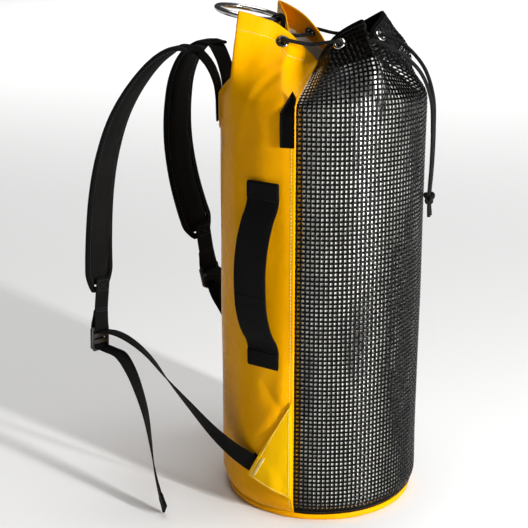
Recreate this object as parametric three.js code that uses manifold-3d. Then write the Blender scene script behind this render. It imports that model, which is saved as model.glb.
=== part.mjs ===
// Round rope storage bag with shoulder straps, in millimetres, +Z up.
// The origin is the centre of the base. +X is the mesh front, -X the back with the straps,
// -Y the left side of a wearer, where the side handle is.
import * as THREE from 'three';
import { mergeVertices } from 'three/addons/utils/BufferGeometryUtils.js';
import Module from 'manifold-3d';

const wasm = await Module();
wasm.setup();

// Driving dimensions.
const bodyRadius = 140;
const gap = 0.3;
const wall = 2;
const rimHeight = 9;
const footHeight = 34;
const footInset = 16;
const foldStart = 575;
const foldEnd = 652;
const valleyRadius = 32;
const pleatAngle = 24;
const pleatRadius = 63;
const valleyTop = 616;
const pleatTop = 652;
const backLobeTop = 686;
const meshLobeTop = 678;
const bandDepth = { valley: 18, lobe: 52 };
const linerTop = 596;
const eyeletAngle = 29;
const eyeletHeight = 645;
const eyeletFlangeRadius = 8.5;
const eyeletBarrelRadius = 5.2;
const eyeletHoleRadius = 4.6;
const cordRadius = 2.5;
const ringWire = 4;
const ringRadius = 43;
const ringTilt = 11;
const ringWebbing = 22;
const strapWebbing = 30;
const webbingThickness = 1.8;
const sewnThickness = 1.6;
const sewnStrapWidth = 38;
const padWidth = 60;
const padThickness = 12;
const handleWebbing = 50;
const handleAngle = 252.5;

const rad = THREE.MathUtils.degToRad;
const vec = (x, y, z) => new THREE.Vector3(x, y, z);
const up = vec(0, 0, 1);
const sides = [
  { name: 'left', sign: -1 },
  { name: 'right', sign: 1 },
];

const finish = (color, roughness, metalness = 0) => ({ color, roughness, metalness });
const yellowPvc = finish(0xd9a300, 0.35);
const blackMesh = finish(0x15150f, 0.4);
const blackPvc = finish(0x101010, 0.5);
const blackWebbing = finish(0x121212, 0.8);
const blackPadding = finish(0x0d0d0d, 0.9);
const blackPlastic = finish(0x141414, 0.45);
const blackCord = finish(0x111111, 0.7);
const whiteFabric = finish(0xdcd9cf, 0.8);
const steel = finish(0xb8b8b4, 0.25, 1);
const blackenedSteel = finish(0x3a3a38, 0.35, 1);

const group = new THREE.Group();

function addPart(name, geometry, look) {
  const mesh = new THREE.Mesh(geometry, new THREE.MeshStandardMaterial(look));
  mesh.name = name;
  group.add(mesh);
  return mesh;
}

// ---- General solids ----

// A closed solid between two surfaces. outer(u, v) and inner(u, v) give points, and a ring
// closes on itself in u.
function shell(columns, rows, outer, inner, ring = false) {
  const around = ring ? columns : columns + 1;
  const points = [];
  for (const surface of [outer, inner]) {
    for (let j = 0; j <= rows; j++) {
      for (let i = 0; i < around; i++) points.push(surface(i / columns, j / rows));
    }
  }
  const layer = around * (rows + 1);
  const at = (side, i, j) => side * layer + j * around + (i % around);
  const faces = [];
  const quad = (a, b, c, d) => faces.push(a, b, c, a, c, d);
  for (let j = 0; j < rows; j++) {
    for (let i = 0; i < columns; i++) {
      quad(at(0, i, j), at(0, i + 1, j), at(0, i + 1, j + 1), at(0, i, j + 1));
      quad(at(1, i, j), at(1, i, j + 1), at(1, i + 1, j + 1), at(1, i + 1, j));
    }
    if (ring) continue;
    quad(at(0, 0, j), at(0, 0, j + 1), at(1, 0, j + 1), at(1, 0, j));
    quad(at(0, columns, j), at(1, columns, j), at(1, columns, j + 1), at(0, columns, j + 1));
  }
  for (let i = 0; i < columns; i++) {
    quad(at(0, i, 0), at(1, i, 0), at(1, i + 1, 0), at(0, i + 1, 0));
    quad(at(0, i, rows), at(0, i + 1, rows), at(1, i + 1, rows), at(1, i, rows));
  }
  const geometry = new THREE.BufferGeometry();
  geometry.setAttribute('position', new THREE.Float32BufferAttribute(points.flatMap((p) => p.toArray()), 3));
  geometry.setIndex(faces);
  return geometry;
}

// Turns every face of a solid round.
function flipped(geometry) {
  const faces = geometry.index.array;
  for (let i = 0; i < faces.length; i += 3) [faces[i], faces[i + 1]] = [faces[i + 1], faces[i]];
  return geometry;
}

// A flat strip swept along a smooth route. across(t) gives the direction of its width,
// profile(t) its width and thickness.
function strip(route, steps, across, profile) {
  const curve = new THREE.CatmullRomCurve3(route.map((p) => vec(...p)));
  const corner = (t, side, face) => {
    const along = curve.getTangentAt(t);
    const width = across(t).clone();
    width.addScaledVector(along, -width.dot(along)).normalize();
    const normal = vec(0, 0, 0).crossVectors(along, width);
    const [wide, thick] = profile(t);
    const point = curve.getPointAt(t).addScaledVector(width, side * wide / 2);
    return point.addScaledVector(normal, face * thick / 2);
  };
  const front = (u, v) => corner(v, 2 * u - 1, -1);
  const back = (u, v) => corner(v, 2 * u - 1, 1);
  return shell(1, steps, front, back);
}

const even = (wide, thick) => () => [wide, thick];
const turning = (from, to) => (t) => vec(0, 0, 0).lerpVectors(from, to, t).normalize();
const steady = (direction) => () => direction;

// A round cord along a smooth route, with a step about every three diameters.
function cord(route) {
  const curve = new THREE.CatmullRomCurve3(route.map((p) => (p.isVector3 ? p : vec(...p))));
  const steps = Math.round(curve.getLength() / (6 * cordRadius));
  const section = new THREE.Shape();
  section.absarc(0, 0, cordRadius, 0, 2 * Math.PI);
  const settings = { steps, bevelEnabled: false, extrudePath: curve, curveSegments: 4 };
  return new THREE.ExtrudeGeometry(section, settings);
}

function toSolid(geometry) {
  const bare = geometry.clone();
  bare.deleteAttribute('normal');
  bare.deleteAttribute('uv');
  const merged = mergeVertices(bare, 1e-4);
  return new wasm.Manifold(new wasm.Mesh({
    numProp: 3,
    vertProperties: new Float32Array(merged.attributes.position.array),
    triVerts: new Uint32Array(merged.index.array),
  }));
}

function toGeometry(solid) {
  const mesh = solid.getMesh();
  const geometry = new THREE.BufferGeometry();
  geometry.setAttribute('position', new THREE.BufferAttribute(mesh.vertProperties, 3));
  geometry.setIndex(new THREE.BufferAttribute(mesh.triVerts, 1));
  return geometry;
}

function cutAway(geometry, tools) {
  const whole = toSolid(geometry);
  return toGeometry(tools.reduce((left, tool) => left.subtract(toSolid(tool)), whole));
}

// ---- The wall and its gathered collar ----

// How far the collar is drawn in at a height, from 0 to 1.
const folded = (z) => Math.min(1, Math.max(0, (z - foldStart) / (foldEnd - foldStart))) ** 1.3;

// How far a valley has sunk at a height, from 0 to 1: it reaches the middle before the pleats do.
const sunk = (z) => Math.min(1, Math.max(0, (z - foldStart) / (valleyTop - foldStart))) ** 1.15;

// How far the wall rounds in towards the base at a height.
const rounded = (z) => footInset * Math.max(0, 1 - z / footHeight) ** 2;

// Degrees from the nearest of the four valleys, 0 to 45.
const fromValley = (angle) => Math.abs(((angle % 90) + 135) % 90 - 45);

const isBack = (angle) => angle > 90 && angle < 270;

// Radius of a lobe's crease: the back lobes stand almost straight and the mesh lobes lean in.
function lobeRadius(angle, z) {
  if (isBack(angle)) return bodyRadius - 7 * (Math.max(0, z - 640) / 50) ** 1.5;
  return bodyRadius - 45 * (Math.max(0, z - 615) / 63) ** 1.4;
}

// Radius on the straight chord between two corners, each given as its angle and radius.
function chordRadius(a, [a0, r0], [a1, r1]) {
  return r0 * r1 * Math.sin(rad(a1 - a0)) / (r0 * Math.sin(rad(a - a0)) + r1 * Math.sin(rad(a1 - a)));
}

// Radius on a side of the star: in from the lobe's crease to the pleat's edge, then to the valley.
function sideRadius(a, valley, pleat, lobe) {
  const edge = [pleatAngle, pleat];
  return a < pleatAngle ? chordRadius(a, [0, valley], edge) : chordRadius(a, edge, [45, lobe]);
}

function wallRadius(angle, z) {
  const a = fromValley(angle);
  const fold = folded(z);
  const valley = bodyRadius - (bodyRadius - valleyRadius) * sunk(z);
  const pleat = bodyRadius - (bodyRadius - pleatRadius) * fold;
  const bulge = bodyRadius - sideRadius(a, bodyRadius, bodyRadius, bodyRadius);
  return sideRadius(a, valley, pleat, lobeRadius(angle, z)) + (1 - sunk(z)) * bulge - rounded(z);
}

// Radial depth that gives a depth of 1 across the wall, where the wall turns or leans.
function slant(angle, z) {
  const nearest = Math.round(angle / 90) * 90;
  const side = Math.sign(angle - nearest) || 1;
  const inside = nearest + side * Math.min(44, Math.max(1, fromValley(angle)));
  const radius = wallRadius(inside, z);
  const turn = (wallRadius(inside + 0.5, z) - wallRadius(inside - 0.5, z)) / rad(1) / radius;
  const lean = wallRadius(inside, z + 0.5) - wallRadius(inside, z - 0.5);
  return Math.sqrt(1 + turn * turn + lean * lean);
}

// A point a given depth inside the outer face of the wall.
function wallPoint(angle, z, depth = 0) {
  const radius = wallRadius(angle, z) - depth * slant(angle, z);
  return vec(radius * Math.cos(rad(angle)), radius * Math.sin(rad(angle)), z);
}

function wallNormal(angle, z) {
  const around = wallPoint(angle + 1, z).sub(wallPoint(angle - 1, z));
  const rising = wallPoint(angle, z + 2).sub(wallPoint(angle, z - 2));
  return around.cross(rising).normalize();
}

// The collar's top edge dips from each lobe to its pleats and into the valleys between them.
function collarTop(angle) {
  const a = fromValley(angle);
  if (a < pleatAngle) return valleyTop + (pleatTop - valleyTop) * a / pleatAngle;
  const lobeTop = isBack(angle) ? backLobeTop : meshLobeTop;
  return pleatTop + (lobeTop - pleatTop) * (a - pleatAngle) / (45 - pleatAngle);
}

// The lower edge of the solid band on the mesh side.
function bandBottom(angle) {
  const { valley, lobe } = bandDepth;
  return collarTop(angle) - valley - (lobe - valley) * fromValley(angle) / 45;
}

// A panel of the wall between two angles. levels(angle) lists its heights from the bottom up.
function wallPanel(from, to, columns, levels, near = 0, far = wall) {
  const rows = levels(from).length - 1;
  const ring = to - from === 360;
  const point = (depth) => (u, v) => {
    const angle = from + (to - from) * u;
    return wallPoint(angle, levels(angle)[Math.round(v * rows)], depth);
  };
  return shell(columns, rows, point(near), point(far), ring);
}

const spread = (from, to, rows) => Array.from({ length: rows + 1 }, (_, i) => from + (to - from) * i / rows);

// ---- Eyelets ----

const eyeletAngles = [0, 90, 180, 270].flatMap((valley) => [valley - eyeletAngle, valley + eyeletAngle]);
const eyelets = eyeletAngles.map((angle) => ({
  angle: (angle + 360) % 360,
  centre: wallPoint(angle, eyeletHeight, wall / 2),
  normal: wallNormal(angle, eyeletHeight),
}));

function place(geometry, centre, normal) {
  const turn = new THREE.Quaternion().setFromUnitVectors(vec(0, 1, 0), normal);
  return geometry.applyQuaternion(turn).translate(centre.x, centre.y, centre.z);
}

function turned(profile, segments = 12) {
  return new THREE.LatheGeometry(profile.map(([r, y]) => new THREE.Vector2(r, y)), segments);
}

// The hole for an eyelet, with a flat seat for its flange and its washer.
function eyeletTools({ centre, normal }) {
  const seat = eyeletFlangeRadius + 1;
  const hole = eyeletBarrelRadius + gap;
  const solidDisc = (radius, low, high) => turned([[0, low], [radius, low], [radius, high], [0, high]]);
  const discs = [solidDisc(hole, -12, 12), solidDisc(seat, 0.8, 12), solidDisc(seat, -12, -0.8)];
  return discs.map((disc) => place(disc, centre, normal));
}

function eyeletRing({ centre, normal }) {
  const profile = [
    [eyeletHoleRadius, -2.2], [eyeletBarrelRadius, -2.2], [eyeletBarrelRadius, 1.1],
    [eyeletFlangeRadius, 1.1], [eyeletFlangeRadius - 1, 2], [eyeletHoleRadius, 2], [eyeletHoleRadius, -2.2],
  ];
  return place(turned(profile), centre, normal);
}

function eyeletWasher({ centre, normal }) {
  const bore = eyeletBarrelRadius + gap;
  const profile = [
    [bore, -2], [eyeletFlangeRadius - 1, -2], [eyeletFlangeRadius, -1.1], [bore, -1.1], [bore, -2],
  ];
  return place(turned(profile), centre, normal);
}

// ---- Body ----

const disc = (radius, low, high) => turned([[0, low], [radius, low], [radius, high], [0, high]], 48);
const zUp = (geometry) => geometry.rotateX(Math.PI / 2);
const seamAngle = 0.2;
const collarRows = 7;
const holesBetween = (inside) => eyelets.filter(({ angle }) => inside(angle)).flatMap(eyeletTools);

const rimRadius = bodyRadius - rounded(rimHeight);
const footLevels = [rimHeight + gap, 20, footHeight];
addPart('base_panel', zUp(disc(rimRadius - 7, 0, 3)), yellowPvc);

const rimProfile = [
  [rimRadius - 6.5, 0], [rimRadius - 2.5, 0], [rimRadius, 2.5], [rimRadius, rimHeight],
  [rimRadius - 5, rimHeight], [rimRadius - 6.5, 5], [rimRadius - 6.5, 0],
];
addPart('base_rim', zUp(turned(rimProfile, 48)), yellowPvc);

const backLevels = (angle) => [...footLevels, 300, ...spread(foldStart, collarTop(angle), collarRows)];
const backPanel = wallPanel(90 + seamAngle, 270 - seamAngle, 36, backLevels);
addPart('back_panel', cutAway(backPanel, holesBetween(isBack)), yellowPvc);

const meshLevels = (angle) => [...footLevels, 300, ...spread(foldStart, bandBottom(angle), 4)];
addPart('mesh_panel', wallPanel(-90 + seamAngle, 90 - seamAngle, 36, meshLevels), blackMesh);

const bandLevels = (angle) => spread(bandBottom(angle) + 2 * gap, collarTop(angle), 4);
const band = wallPanel(-90 + seamAngle, 90 - seamAngle, 36, bandLevels);
addPart('mesh_collar_band', cutAway(band, holesBetween((angle) => !isBack(angle))), blackPvc);

const linerLevels = () => [rimHeight + 3, ...footLevels.slice(1), 300, ...spread(foldStart, linerTop, 4)];
addPart('inner_liner', wallPanel(0, 360, 72, linerLevels, wall + 2, wall + 3.2), whiteFabric);

eyelets.forEach((eyelet, i) => {
  const look = isBack(eyelet.angle) ? blackenedSteel : steel;
  addPart(`eyelet_${i + 1}`, eyeletRing(eyelet), look);
  addPart(`eyelet_washer_${i + 1}`, eyeletWasher(eyelet), look);
});

// ---- Drawcord ----

// The cord runs outside across a valley and inside along a lobe, so it changes side at each eyelet.
function cordThrough(eyelet, outward) {
  const near = eyelet.centre.clone().addScaledVector(eyelet.normal, -5 * outward);
  const far = eyelet.centre.clone().addScaledVector(eyelet.normal, 5 * outward);
  return [near, far];
}

const cordOrder = [1, 2, 3, 4, 5, 6, 7, 0];
const loopRoute = cordOrder.flatMap((index, turn) => cordThrough(eyelets[index], turn % 2 ? 1 : -1));
addPart('drawcord', cord(loopRoute), blackCord);

const tailStart = { left: loopRoute.at(-1), right: loopRoute[0] };
const knotCentre = vec(148, 5, 435);
const knotTop = knotCentre.z + 9;
for (const { name, sign } of sides) {
  const start = tailStart[name].clone().addScaledVector(vec(1, 0, -0.2).normalize(), cordRadius * 2.4);
  const route = [
    start, [92, sign * 34, 641], [112, sign * 26 + 2, 629], [134, sign * 16 + 4, 605],
    [147, sign * 9 + 5, 570], [150, sign * 6 + 5, 530], [150, sign * 4.5 + 5, 485],
    [148, sign * 3.4 + 5, knotTop + gap],
  ];
  addPart(`drawcord_tail_${name}`, cord(route), blackCord);
}
const knot = new THREE.SphereGeometry(9, 12, 8);
addPart('drawcord_knot', knot.rotateX(Math.PI / 2).scale(0.8, 0.95, 1), blackCord).position.copy(knotCentre);

// ---- Haul ring ----

const ringPivot = vec(-64, 0, 667);
const ring = zUp(turned(Array.from({ length: 11 }, (_, i) => {
  const turn = 2 * Math.PI * i / 10;
  return [ringRadius + ringWire * Math.cos(turn), ringWire * Math.sin(turn)];
}), 32));
const ringMesh = addPart('haul_ring', ring.translate(-ringRadius, 0, 0), steel);
ringMesh.rotation.y = rad(ringTilt);
ringMesh.position.copy(ringPivot);

// The webbing comes up the back valley and wraps the ring.
const wrapRadius = ringWire + 3.4;
const wrapPoint = (degrees) => [
  ringPivot.x + wrapRadius * Math.cos(rad(degrees)), 0, ringPivot.z + wrapRadius * Math.sin(rad(degrees)),
];
const ringWebbingRoute = [
  [-136, 0, 579], [-121, 0, 590], [-105, 0, 601], [-88, 0, 614], [-72, 0, 632], [-60, 0, 650],
  ...[-20, 20, 60, 100, 140, 180, 215, 240].map(wrapPoint),
];
const ringWebbingProfile = even(ringWebbing, sewnThickness);
addPart('haul_ring_webbing', strip(ringWebbingRoute, 36, steady(vec(0, 1, 0)), ringWebbingProfile), blackWebbing);

// ---- Side handle ----

const handleOut = vec(Math.cos(rad(handleAngle)), Math.sin(rad(handleAngle)), 0);
const handleAcross = vec(0, 0, 0).crossVectors(up, handleOut);
const handleRoute = (offsets) => offsets.map(([out, z]) => [
  handleOut.x * (bodyRadius + out), handleOut.y * (bodyRadius + out), z,
]);
const handleParts = {
  handle_end_upper: [[3, 474], [3, 450], [8, 438], [16, 426]],
  side_handle: [[16.8, 424.5], [27, 400], [33, 370], [34, 345], [31, 310], [24, 286], [17, 271.5]],
  handle_end_lower: [[16, 270], [8, 259], [3, 247], [3, 222]],
};
for (const [name, offsets] of Object.entries(handleParts)) {
  const solid = strip(handleRoute(offsets), 12, steady(handleAcross), even(handleWebbing, 2.4));
  addPart(name, solid, blackWebbing);
}

// ---- Side label ----

const labelOutline = [[-1, 522], [-19, 522], [-19, 566], [-6, 592], [-1, 584]];
const labelShape = new THREE.Shape(labelOutline.map(([x, z]) => new THREE.Vector2(x, z)));
const label = new THREE.ExtrudeGeometry(labelShape, { depth: 0.8, bevelEnabled: false });
addPart('side_label', label.rotateX(Math.PI / 2).translate(0, -bodyRadius - 1, 0), blackPvc);

// ---- Shoulder straps ----

// A patch or a strip that lies on the straight part of the wall, between two distances from it.
function onWall(from, to, columns, bottom, top, near, far) {
  const point = (depth) => (u, v) => {
    const angle = from + (to - from) * u;
    const radius = bodyRadius + depth;
    const z = bottom(u) + (top(u) - bottom(u)) * v;
    return vec(radius * Math.cos(rad(angle)), radius * Math.sin(rad(angle)), z);
  };
  return shell(columns, 3, point(far), point(near));
}

const between = (a, b) => (u) => a + (b - a) * u;
addPart('strap_yoke_patch', onWall(161, 199, 14, between(525, 525), between(572, 572), 0.6, 2.4), yellowPvc);

const straps = {
  left: {
    sewn: [[-142, -22, 534], [-142, -22, 562], [-143.6, -22.9, 582], [-149.2, -26.4, 600]],
    top: [[-150.2, -27.1, 602.8], [-156.5, -31, 614], [-167, -38.5, 626]],
    pad: [
      [-169, -41, 628], [-190, -50, 630], [-214, -58, 616], [-244, -64, 582], [-270, -68, 538],
      [-288, -72, 485], [-298, -76, 430], [-303, -80, 360], [-303, -85, 292],
    ],
    buckle: [-300, -96, 222],
    lower: [
      [-295, -96, 227], [-281, -97, 232], [-263, -100, 229], [-241, -103, 219], [-219, -106, 203],
      [-193, -110, 176], [-159, -115, 144], [-119, -121, 108], [-89, -126, 88], [-70, -129, 79],
    ],
    tail: [
      [-295, -100, 203], [-281, -103, 207], [-263, -108, 203], [-246, -114, 184], [-231, -121, 156],
      [-218, -130, 126], [-207, -142, 92], [-196, -155, 54], [-184, -168, 28], [-172, -180, 11],
    ],
    padTurn: [vec(0, 1, 0), vec(0.25, 1, 0)],
    tailEnd: vec(-0.6, 0.75, 0),
  },
  right: {
    sewn: [[-142, 22, 534], [-142, 22, 562], [-143.6, 22.9, 582], [-149.2, 26.4, 600]],
    top: [[-150.2, 27.1, 602.8], [-156.5, 31, 614], [-167, 38.5, 626]],
    pad: [
      [-169, 41, 628], [-188, 49, 628], [-210, 57, 612], [-228, 64, 580], [-238, 70, 535],
      [-241, 75, 485], [-236, 80, 430], [-226, 86, 380], [-213, 92, 335],
    ],
    buckle: [-201, 98, 268],
    lower: [
      [-196.7, 94.7, 273.6], [-189.9, 91, 274], [-177, 97, 263], [-166, 106, 240], [-157, 112, 213],
      [-148, 116, 180], [-138, 118, 140], [-118, 122, 108], [-92, 127, 88], [-70, 129, 79],
    ],
    tail: [
      [-195.1, 98.3, 249.7], [-190, 99, 241], [-181, 110, 215], [-171, 126, 178], [-163, 138, 130],
      [-157, 147, 80], [-152, 156, 30],
    ],
    padTurn: [vec(0.2, 1, 0), vec(0.55, 1, 0)],
    tailEnd: vec(0.2, 1, 0),
  },
};

// The ladder lock: an outline with three slots, its bars along X and its strap direction along -Y.
function ladderLock() {
  const wide = 38;
  const tall = 32;
  const slotWide = strapWebbing + 1.4;
  const outline = new THREE.Shape();
  outline.moveTo(-wide / 2 + 3, -tall / 2);
  outline.lineTo(wide / 2 - 3, -tall / 2);
  outline.lineTo(wide / 2, -tall / 2 + 3);
  outline.lineTo(wide / 2, tall / 2);
  outline.lineTo(-wide / 2, tall / 2);
  outline.lineTo(-wide / 2, -tall / 2 + 3);
  for (const [low, high] of [[-12, -7], [-4, 1.5], [4.5, 12]]) {
    const corners = [[-1, low], [1, low], [1, high], [-1, high]];
    outline.holes.push(new THREE.Path(corners.map(([x, y]) => new THREE.Vector2(x * slotWide / 2, y))));
  }
  return new THREE.ExtrudeGeometry(outline, { depth: 4, bevelEnabled: false }).translate(0, 0, -2);
}

for (const { name, sign } of sides) {
  const { sewn, top, pad, padTurn, buckle, lower, tail, tailEnd } = straps[name];
  const wallAcross = vec(sign * 0.153, 0.988, 0);
  const padEnd = vec(...pad.at(-1));
  const centre = vec(...buckle);
  const seamSide = 180 + sign * -90;
  const toward = (degrees) => seamSide + sign * degrees;

  const sewnProfile = even(sewnStrapWidth, webbingThickness);
  addPart(`strap_anchor_${name}`, strip(sewn, 10, steady(wallAcross), sewnProfile), blackWebbing);
  const topSolid = strip(top, 4, turning(wallAcross, padTurn[0]), sewnProfile);
  addPart(`strap_top_webbing_${name}`, topSolid, blackWebbing);
  const padProfile = (t) => [
    padWidth - 14 * Math.max(0, 1 - t / 0.12),
    padThickness - 5 * Math.abs(2 * t - 1) ** 8,
  ];
  const padAcross = turning(...padTurn);
  addPart(`strap_pad_${name}`, strip(pad, 28, padAcross, padProfile), blackPadding);

  // The lock hangs from the pad: its axes are the bar, the way up the strap and the outer face.
  const rise = padEnd.clone().sub(centre).normalize();
  const bar = padAcross(1).clone();
  bar.addScaledVector(rise, -bar.dot(rise)).normalize();
  const face = vec(0, 0, 0).crossVectors(bar, rise);
  const lock = addPart(`ladder_lock_${name}`, ladderLock(), blackPlastic);
  lock.quaternion.setFromRotationMatrix(new THREE.Matrix4().makeBasis(bar, rise, face));
  lock.position.copy(centre);

  // A loop of webbing from the pad's end around the top bar, which is 14 mm above the centre.
  const loopAt = (along, out) => {
    const point = centre.clone().addScaledVector(rise, along);
    return point.addScaledVector(face, out).toArray();
  };
  const reach = padEnd.distanceTo(centre) - 2.5;
  const lockLoop = [
    loopAt(reach, 1.6), loopAt(reach - 20, 3.6), loopAt(20, 4.4), loopAt(14, 4.4), loopAt(9.8, 3.2),
    loopAt(8.6, 0), loopAt(9.8, -3.2), loopAt(14, -4.4), loopAt(20, -4.4), loopAt(26, -1.5),
  ];
  const thinProfile = even(strapWebbing, sewnThickness);
  addPart(`lock_webbing_${name}`, strip(lockLoop, 24, steady(bar), thinProfile), blackWebbing);

  const lowerProfile = even(strapWebbing, webbingThickness);
  const tabEdge = vec(-0.46, sign * -0.168, -0.872);
  addPart(`lower_webbing_${name}`, strip(lower, 22, turning(bar, tabEdge), lowerProfile), blackWebbing);
  addPart(`strap_tail_${name}`, strip(tail, 20, turning(bar, tailEnd), lowerProfile), blackWebbing);

  // The triangular tab from the side seam covers the webbing's sewn end.
  const tab = onWall(toward(1), toward(27.5), 8, between(32, 55), between(170, 59), 4.1, 5.8);
  addPart(`side_tab_${name}`, sign < 0 ? flipped(tab) : tab, yellowPvc);
  const end = [[14, 57], [20, 66.5], [26.5, 76.5]].map(([degrees, z]) => [
    (bodyRadius + 2) * Math.cos(rad(toward(degrees))), (bodyRadius + 2) * Math.sin(rad(toward(degrees))), z,
  ]);
  addPart(`tab_webbing_${name}`, strip(end, 6, steady(tabEdge), thinProfile), blackWebbing);
}

export default group;
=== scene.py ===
"""Looks of the rope storage bag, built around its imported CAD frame.

Metres, +Z up. +X is the mesh front, -X the back with the straps, -Y the side with the handle.
Design sizes are written in millimetres and turned into metres by mm().
"""

import math

import bmesh
import bpy
import mathutils
import numpy as np
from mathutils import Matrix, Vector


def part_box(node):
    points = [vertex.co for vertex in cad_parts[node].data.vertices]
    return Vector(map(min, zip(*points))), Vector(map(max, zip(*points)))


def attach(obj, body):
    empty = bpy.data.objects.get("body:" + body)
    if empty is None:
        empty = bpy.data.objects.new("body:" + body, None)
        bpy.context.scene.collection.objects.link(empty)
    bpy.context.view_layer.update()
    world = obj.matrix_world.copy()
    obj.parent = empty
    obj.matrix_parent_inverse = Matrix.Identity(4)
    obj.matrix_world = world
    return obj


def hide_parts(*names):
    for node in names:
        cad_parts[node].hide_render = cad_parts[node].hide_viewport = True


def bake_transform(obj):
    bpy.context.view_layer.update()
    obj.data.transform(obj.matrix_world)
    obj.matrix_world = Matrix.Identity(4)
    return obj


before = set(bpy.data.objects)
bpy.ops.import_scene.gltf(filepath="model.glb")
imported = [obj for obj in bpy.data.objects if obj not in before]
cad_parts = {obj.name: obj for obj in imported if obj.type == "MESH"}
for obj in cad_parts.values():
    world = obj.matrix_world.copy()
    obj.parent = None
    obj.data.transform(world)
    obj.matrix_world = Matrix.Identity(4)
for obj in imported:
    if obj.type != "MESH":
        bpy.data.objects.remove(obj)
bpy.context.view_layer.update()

BODY_RADIUS = 0.140
FOLD_START = 0.575
FOLD_END = 0.652
VALLEY_RADIUS = 0.032
PLEAT_RADIUS = 0.063
PLEAT_ANGLE = 24.0
FOOT_HEIGHT = 0.034
FOOT_INSET = 0.016
VALLEY_TOP = 0.616
PLEAT_TOP = 0.652
BACK_LOBE_TOP = 0.686
MESH_LOBE_TOP = 0.678
PANEL_BOTTOM = 0.0093
PANEL_LENGTH = math.pi * BODY_RADIUS
MESH_PITCH = PANEL_LENGTH / 72
SIDES = (("left", -1), ("right", 1))


def mm(*values):
    return np.array(values[0] if len(values) == 1 else values, float) * 0.001


def unit(v):
    v = np.asarray(v, float)
    return v / np.maximum(np.linalg.norm(v, axis=-1, keepdims=True), 1e-12)


# ---- Curves ----

def smooth_route(points, step):
    """A smooth curve through points in metres, resampled at an even step."""
    pts = np.asarray(points, float)
    knots = np.concatenate([[0], np.cumsum(np.linalg.norm(np.diff(pts, axis=0), axis=1) ** 0.5)])
    slopes = np.gradient(pts, knots, axis=0)
    t = np.linspace(0, knots[-1], 24 * len(pts))
    i = np.clip(np.searchsorted(knots, t, side="right") - 1, 0, len(pts) - 2)
    h = (knots[i + 1] - knots[i])[:, None]
    u = ((t - knots[i]) / h[:, 0])[:, None]
    curve = ((2 * u ** 3 - 3 * u ** 2 + 1) * pts[i] + (u ** 3 - 2 * u ** 2 + u) * h * slopes[i]
             + (3 * u ** 2 - 2 * u ** 3) * pts[i + 1] + (u ** 3 - u ** 2) * h * slopes[i + 1])
    return resampled(curve, step)


def resampled(curve, step):
    along = np.concatenate([[0], np.cumsum(np.linalg.norm(np.diff(curve, axis=0), axis=1))])
    even = np.linspace(0, along[-1], max(2, round(along[-1] / step) + 1))
    return np.stack([np.interp(even, along, curve[:, k]) for k in range(3)], axis=1)


def tangents(path):
    return unit(np.gradient(path, axis=0))


def arc(path):
    return np.concatenate([[0], np.cumsum(np.linalg.norm(np.diff(path, axis=0), axis=1))])


def carried(path, start):
    """A direction carried along a path without twist."""
    ts = tangents(path)
    side = [unit(start - ts[0] * np.dot(start, ts[0]))]
    for t in ts[1:]:
        side.append(unit(side[-1] - t * np.dot(side[-1], t)))
    return np.array(side)


def turning(path, first, last):
    """A direction that turns evenly from first to last, kept square to the path."""
    t = (arc(path) / arc(path)[-1])[:, None]
    across = unit(unit(first) * (1 - t) + unit(last) * t)
    ts = tangents(path)
    return unit(across - ts * np.sum(across * ts, axis=1, keepdims=True))


# ---- Meshes ----

def make_mesh(name, verts, faces, uvs=None, smooth=True):
    mesh = bpy.data.meshes.new(name)
    verts = np.asarray(verts, float).reshape(-1, 3)
    mesh.from_pydata(verts.tolist(), [], [list(map(int, f)) for f in faces])
    mesh.validate()
    if uvs is not None:
        uvs = np.asarray(uvs, float).reshape(-1, 2)
        layer = mesh.uv_layers.new(name="UVMap")
        index = np.empty(len(mesh.loops), int)
        mesh.loops.foreach_get("vertex_index", index)
        layer.data.foreach_set("uv", uvs[index].ravel())
    mesh.polygons.foreach_set("use_smooth", [smooth] * len(mesh.polygons))
    obj = bpy.data.objects.new(name, mesh)
    bpy.context.scene.collection.objects.link(obj)
    return obj


def grid_faces(rows, cols, wrap_rows=False, wrap_cols=False, start=0):
    j = np.arange(rows if wrap_rows else rows - 1)[:, None]
    i = np.arange(cols if wrap_cols else cols - 1)[None, :]
    a = j * cols + i
    b = j * cols + (i + 1) % cols
    c = ((j + 1) % rows) * cols + (i + 1) % cols
    d = ((j + 1) % rows) * cols + i
    return (np.stack([a, b, c, d], axis=-1).reshape(-1, 4) + start).tolist()


def swept(path, across, normal, section, caps=True):
    """Vertices, faces and UVs of a section, points (across, normal), carried along a path."""
    section = np.asarray(section, float)
    if section.ndim == 2:
        section = np.repeat(section[None], len(path), axis=0)
    verts = path[:, None] + across[:, None] * section[..., :1] + normal[:, None] * section[..., 1:]
    rows, cols = section.shape[:2]
    faces = grid_faces(rows, cols, wrap_cols=True)
    round_ = np.linalg.norm(np.diff(np.vstack([section[0], section[0][:1]]), axis=0), axis=1)
    u = np.concatenate([[0], np.cumsum(round_)])[:-1]
    uvs = np.stack(np.broadcast_arrays(u[None, :], arc(path)[:, None]), axis=-1)
    if caps:
        faces += [list(range(cols))[::-1], [(rows - 1) * cols + i for i in range(cols)]]
    return verts.reshape(-1, 3), faces, uvs.reshape(-1, 2)


def joined(parts):
    verts, faces, uvs, start = [], [], [], 0
    for v, f, t in parts:
        verts.append(v)
        uvs.append(t)
        faces += [[k + start for k in face] for face in f]
        start += len(v)
    return np.vstack(verts), faces, np.vstack(uvs)


def oval(width, thick, sides=8):
    a = np.arange(sides) * 2 * math.pi / sides + math.pi / sides
    return np.stack([width / 2 * np.cos(a), thick / 2 * np.sin(a)], axis=1)


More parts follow.
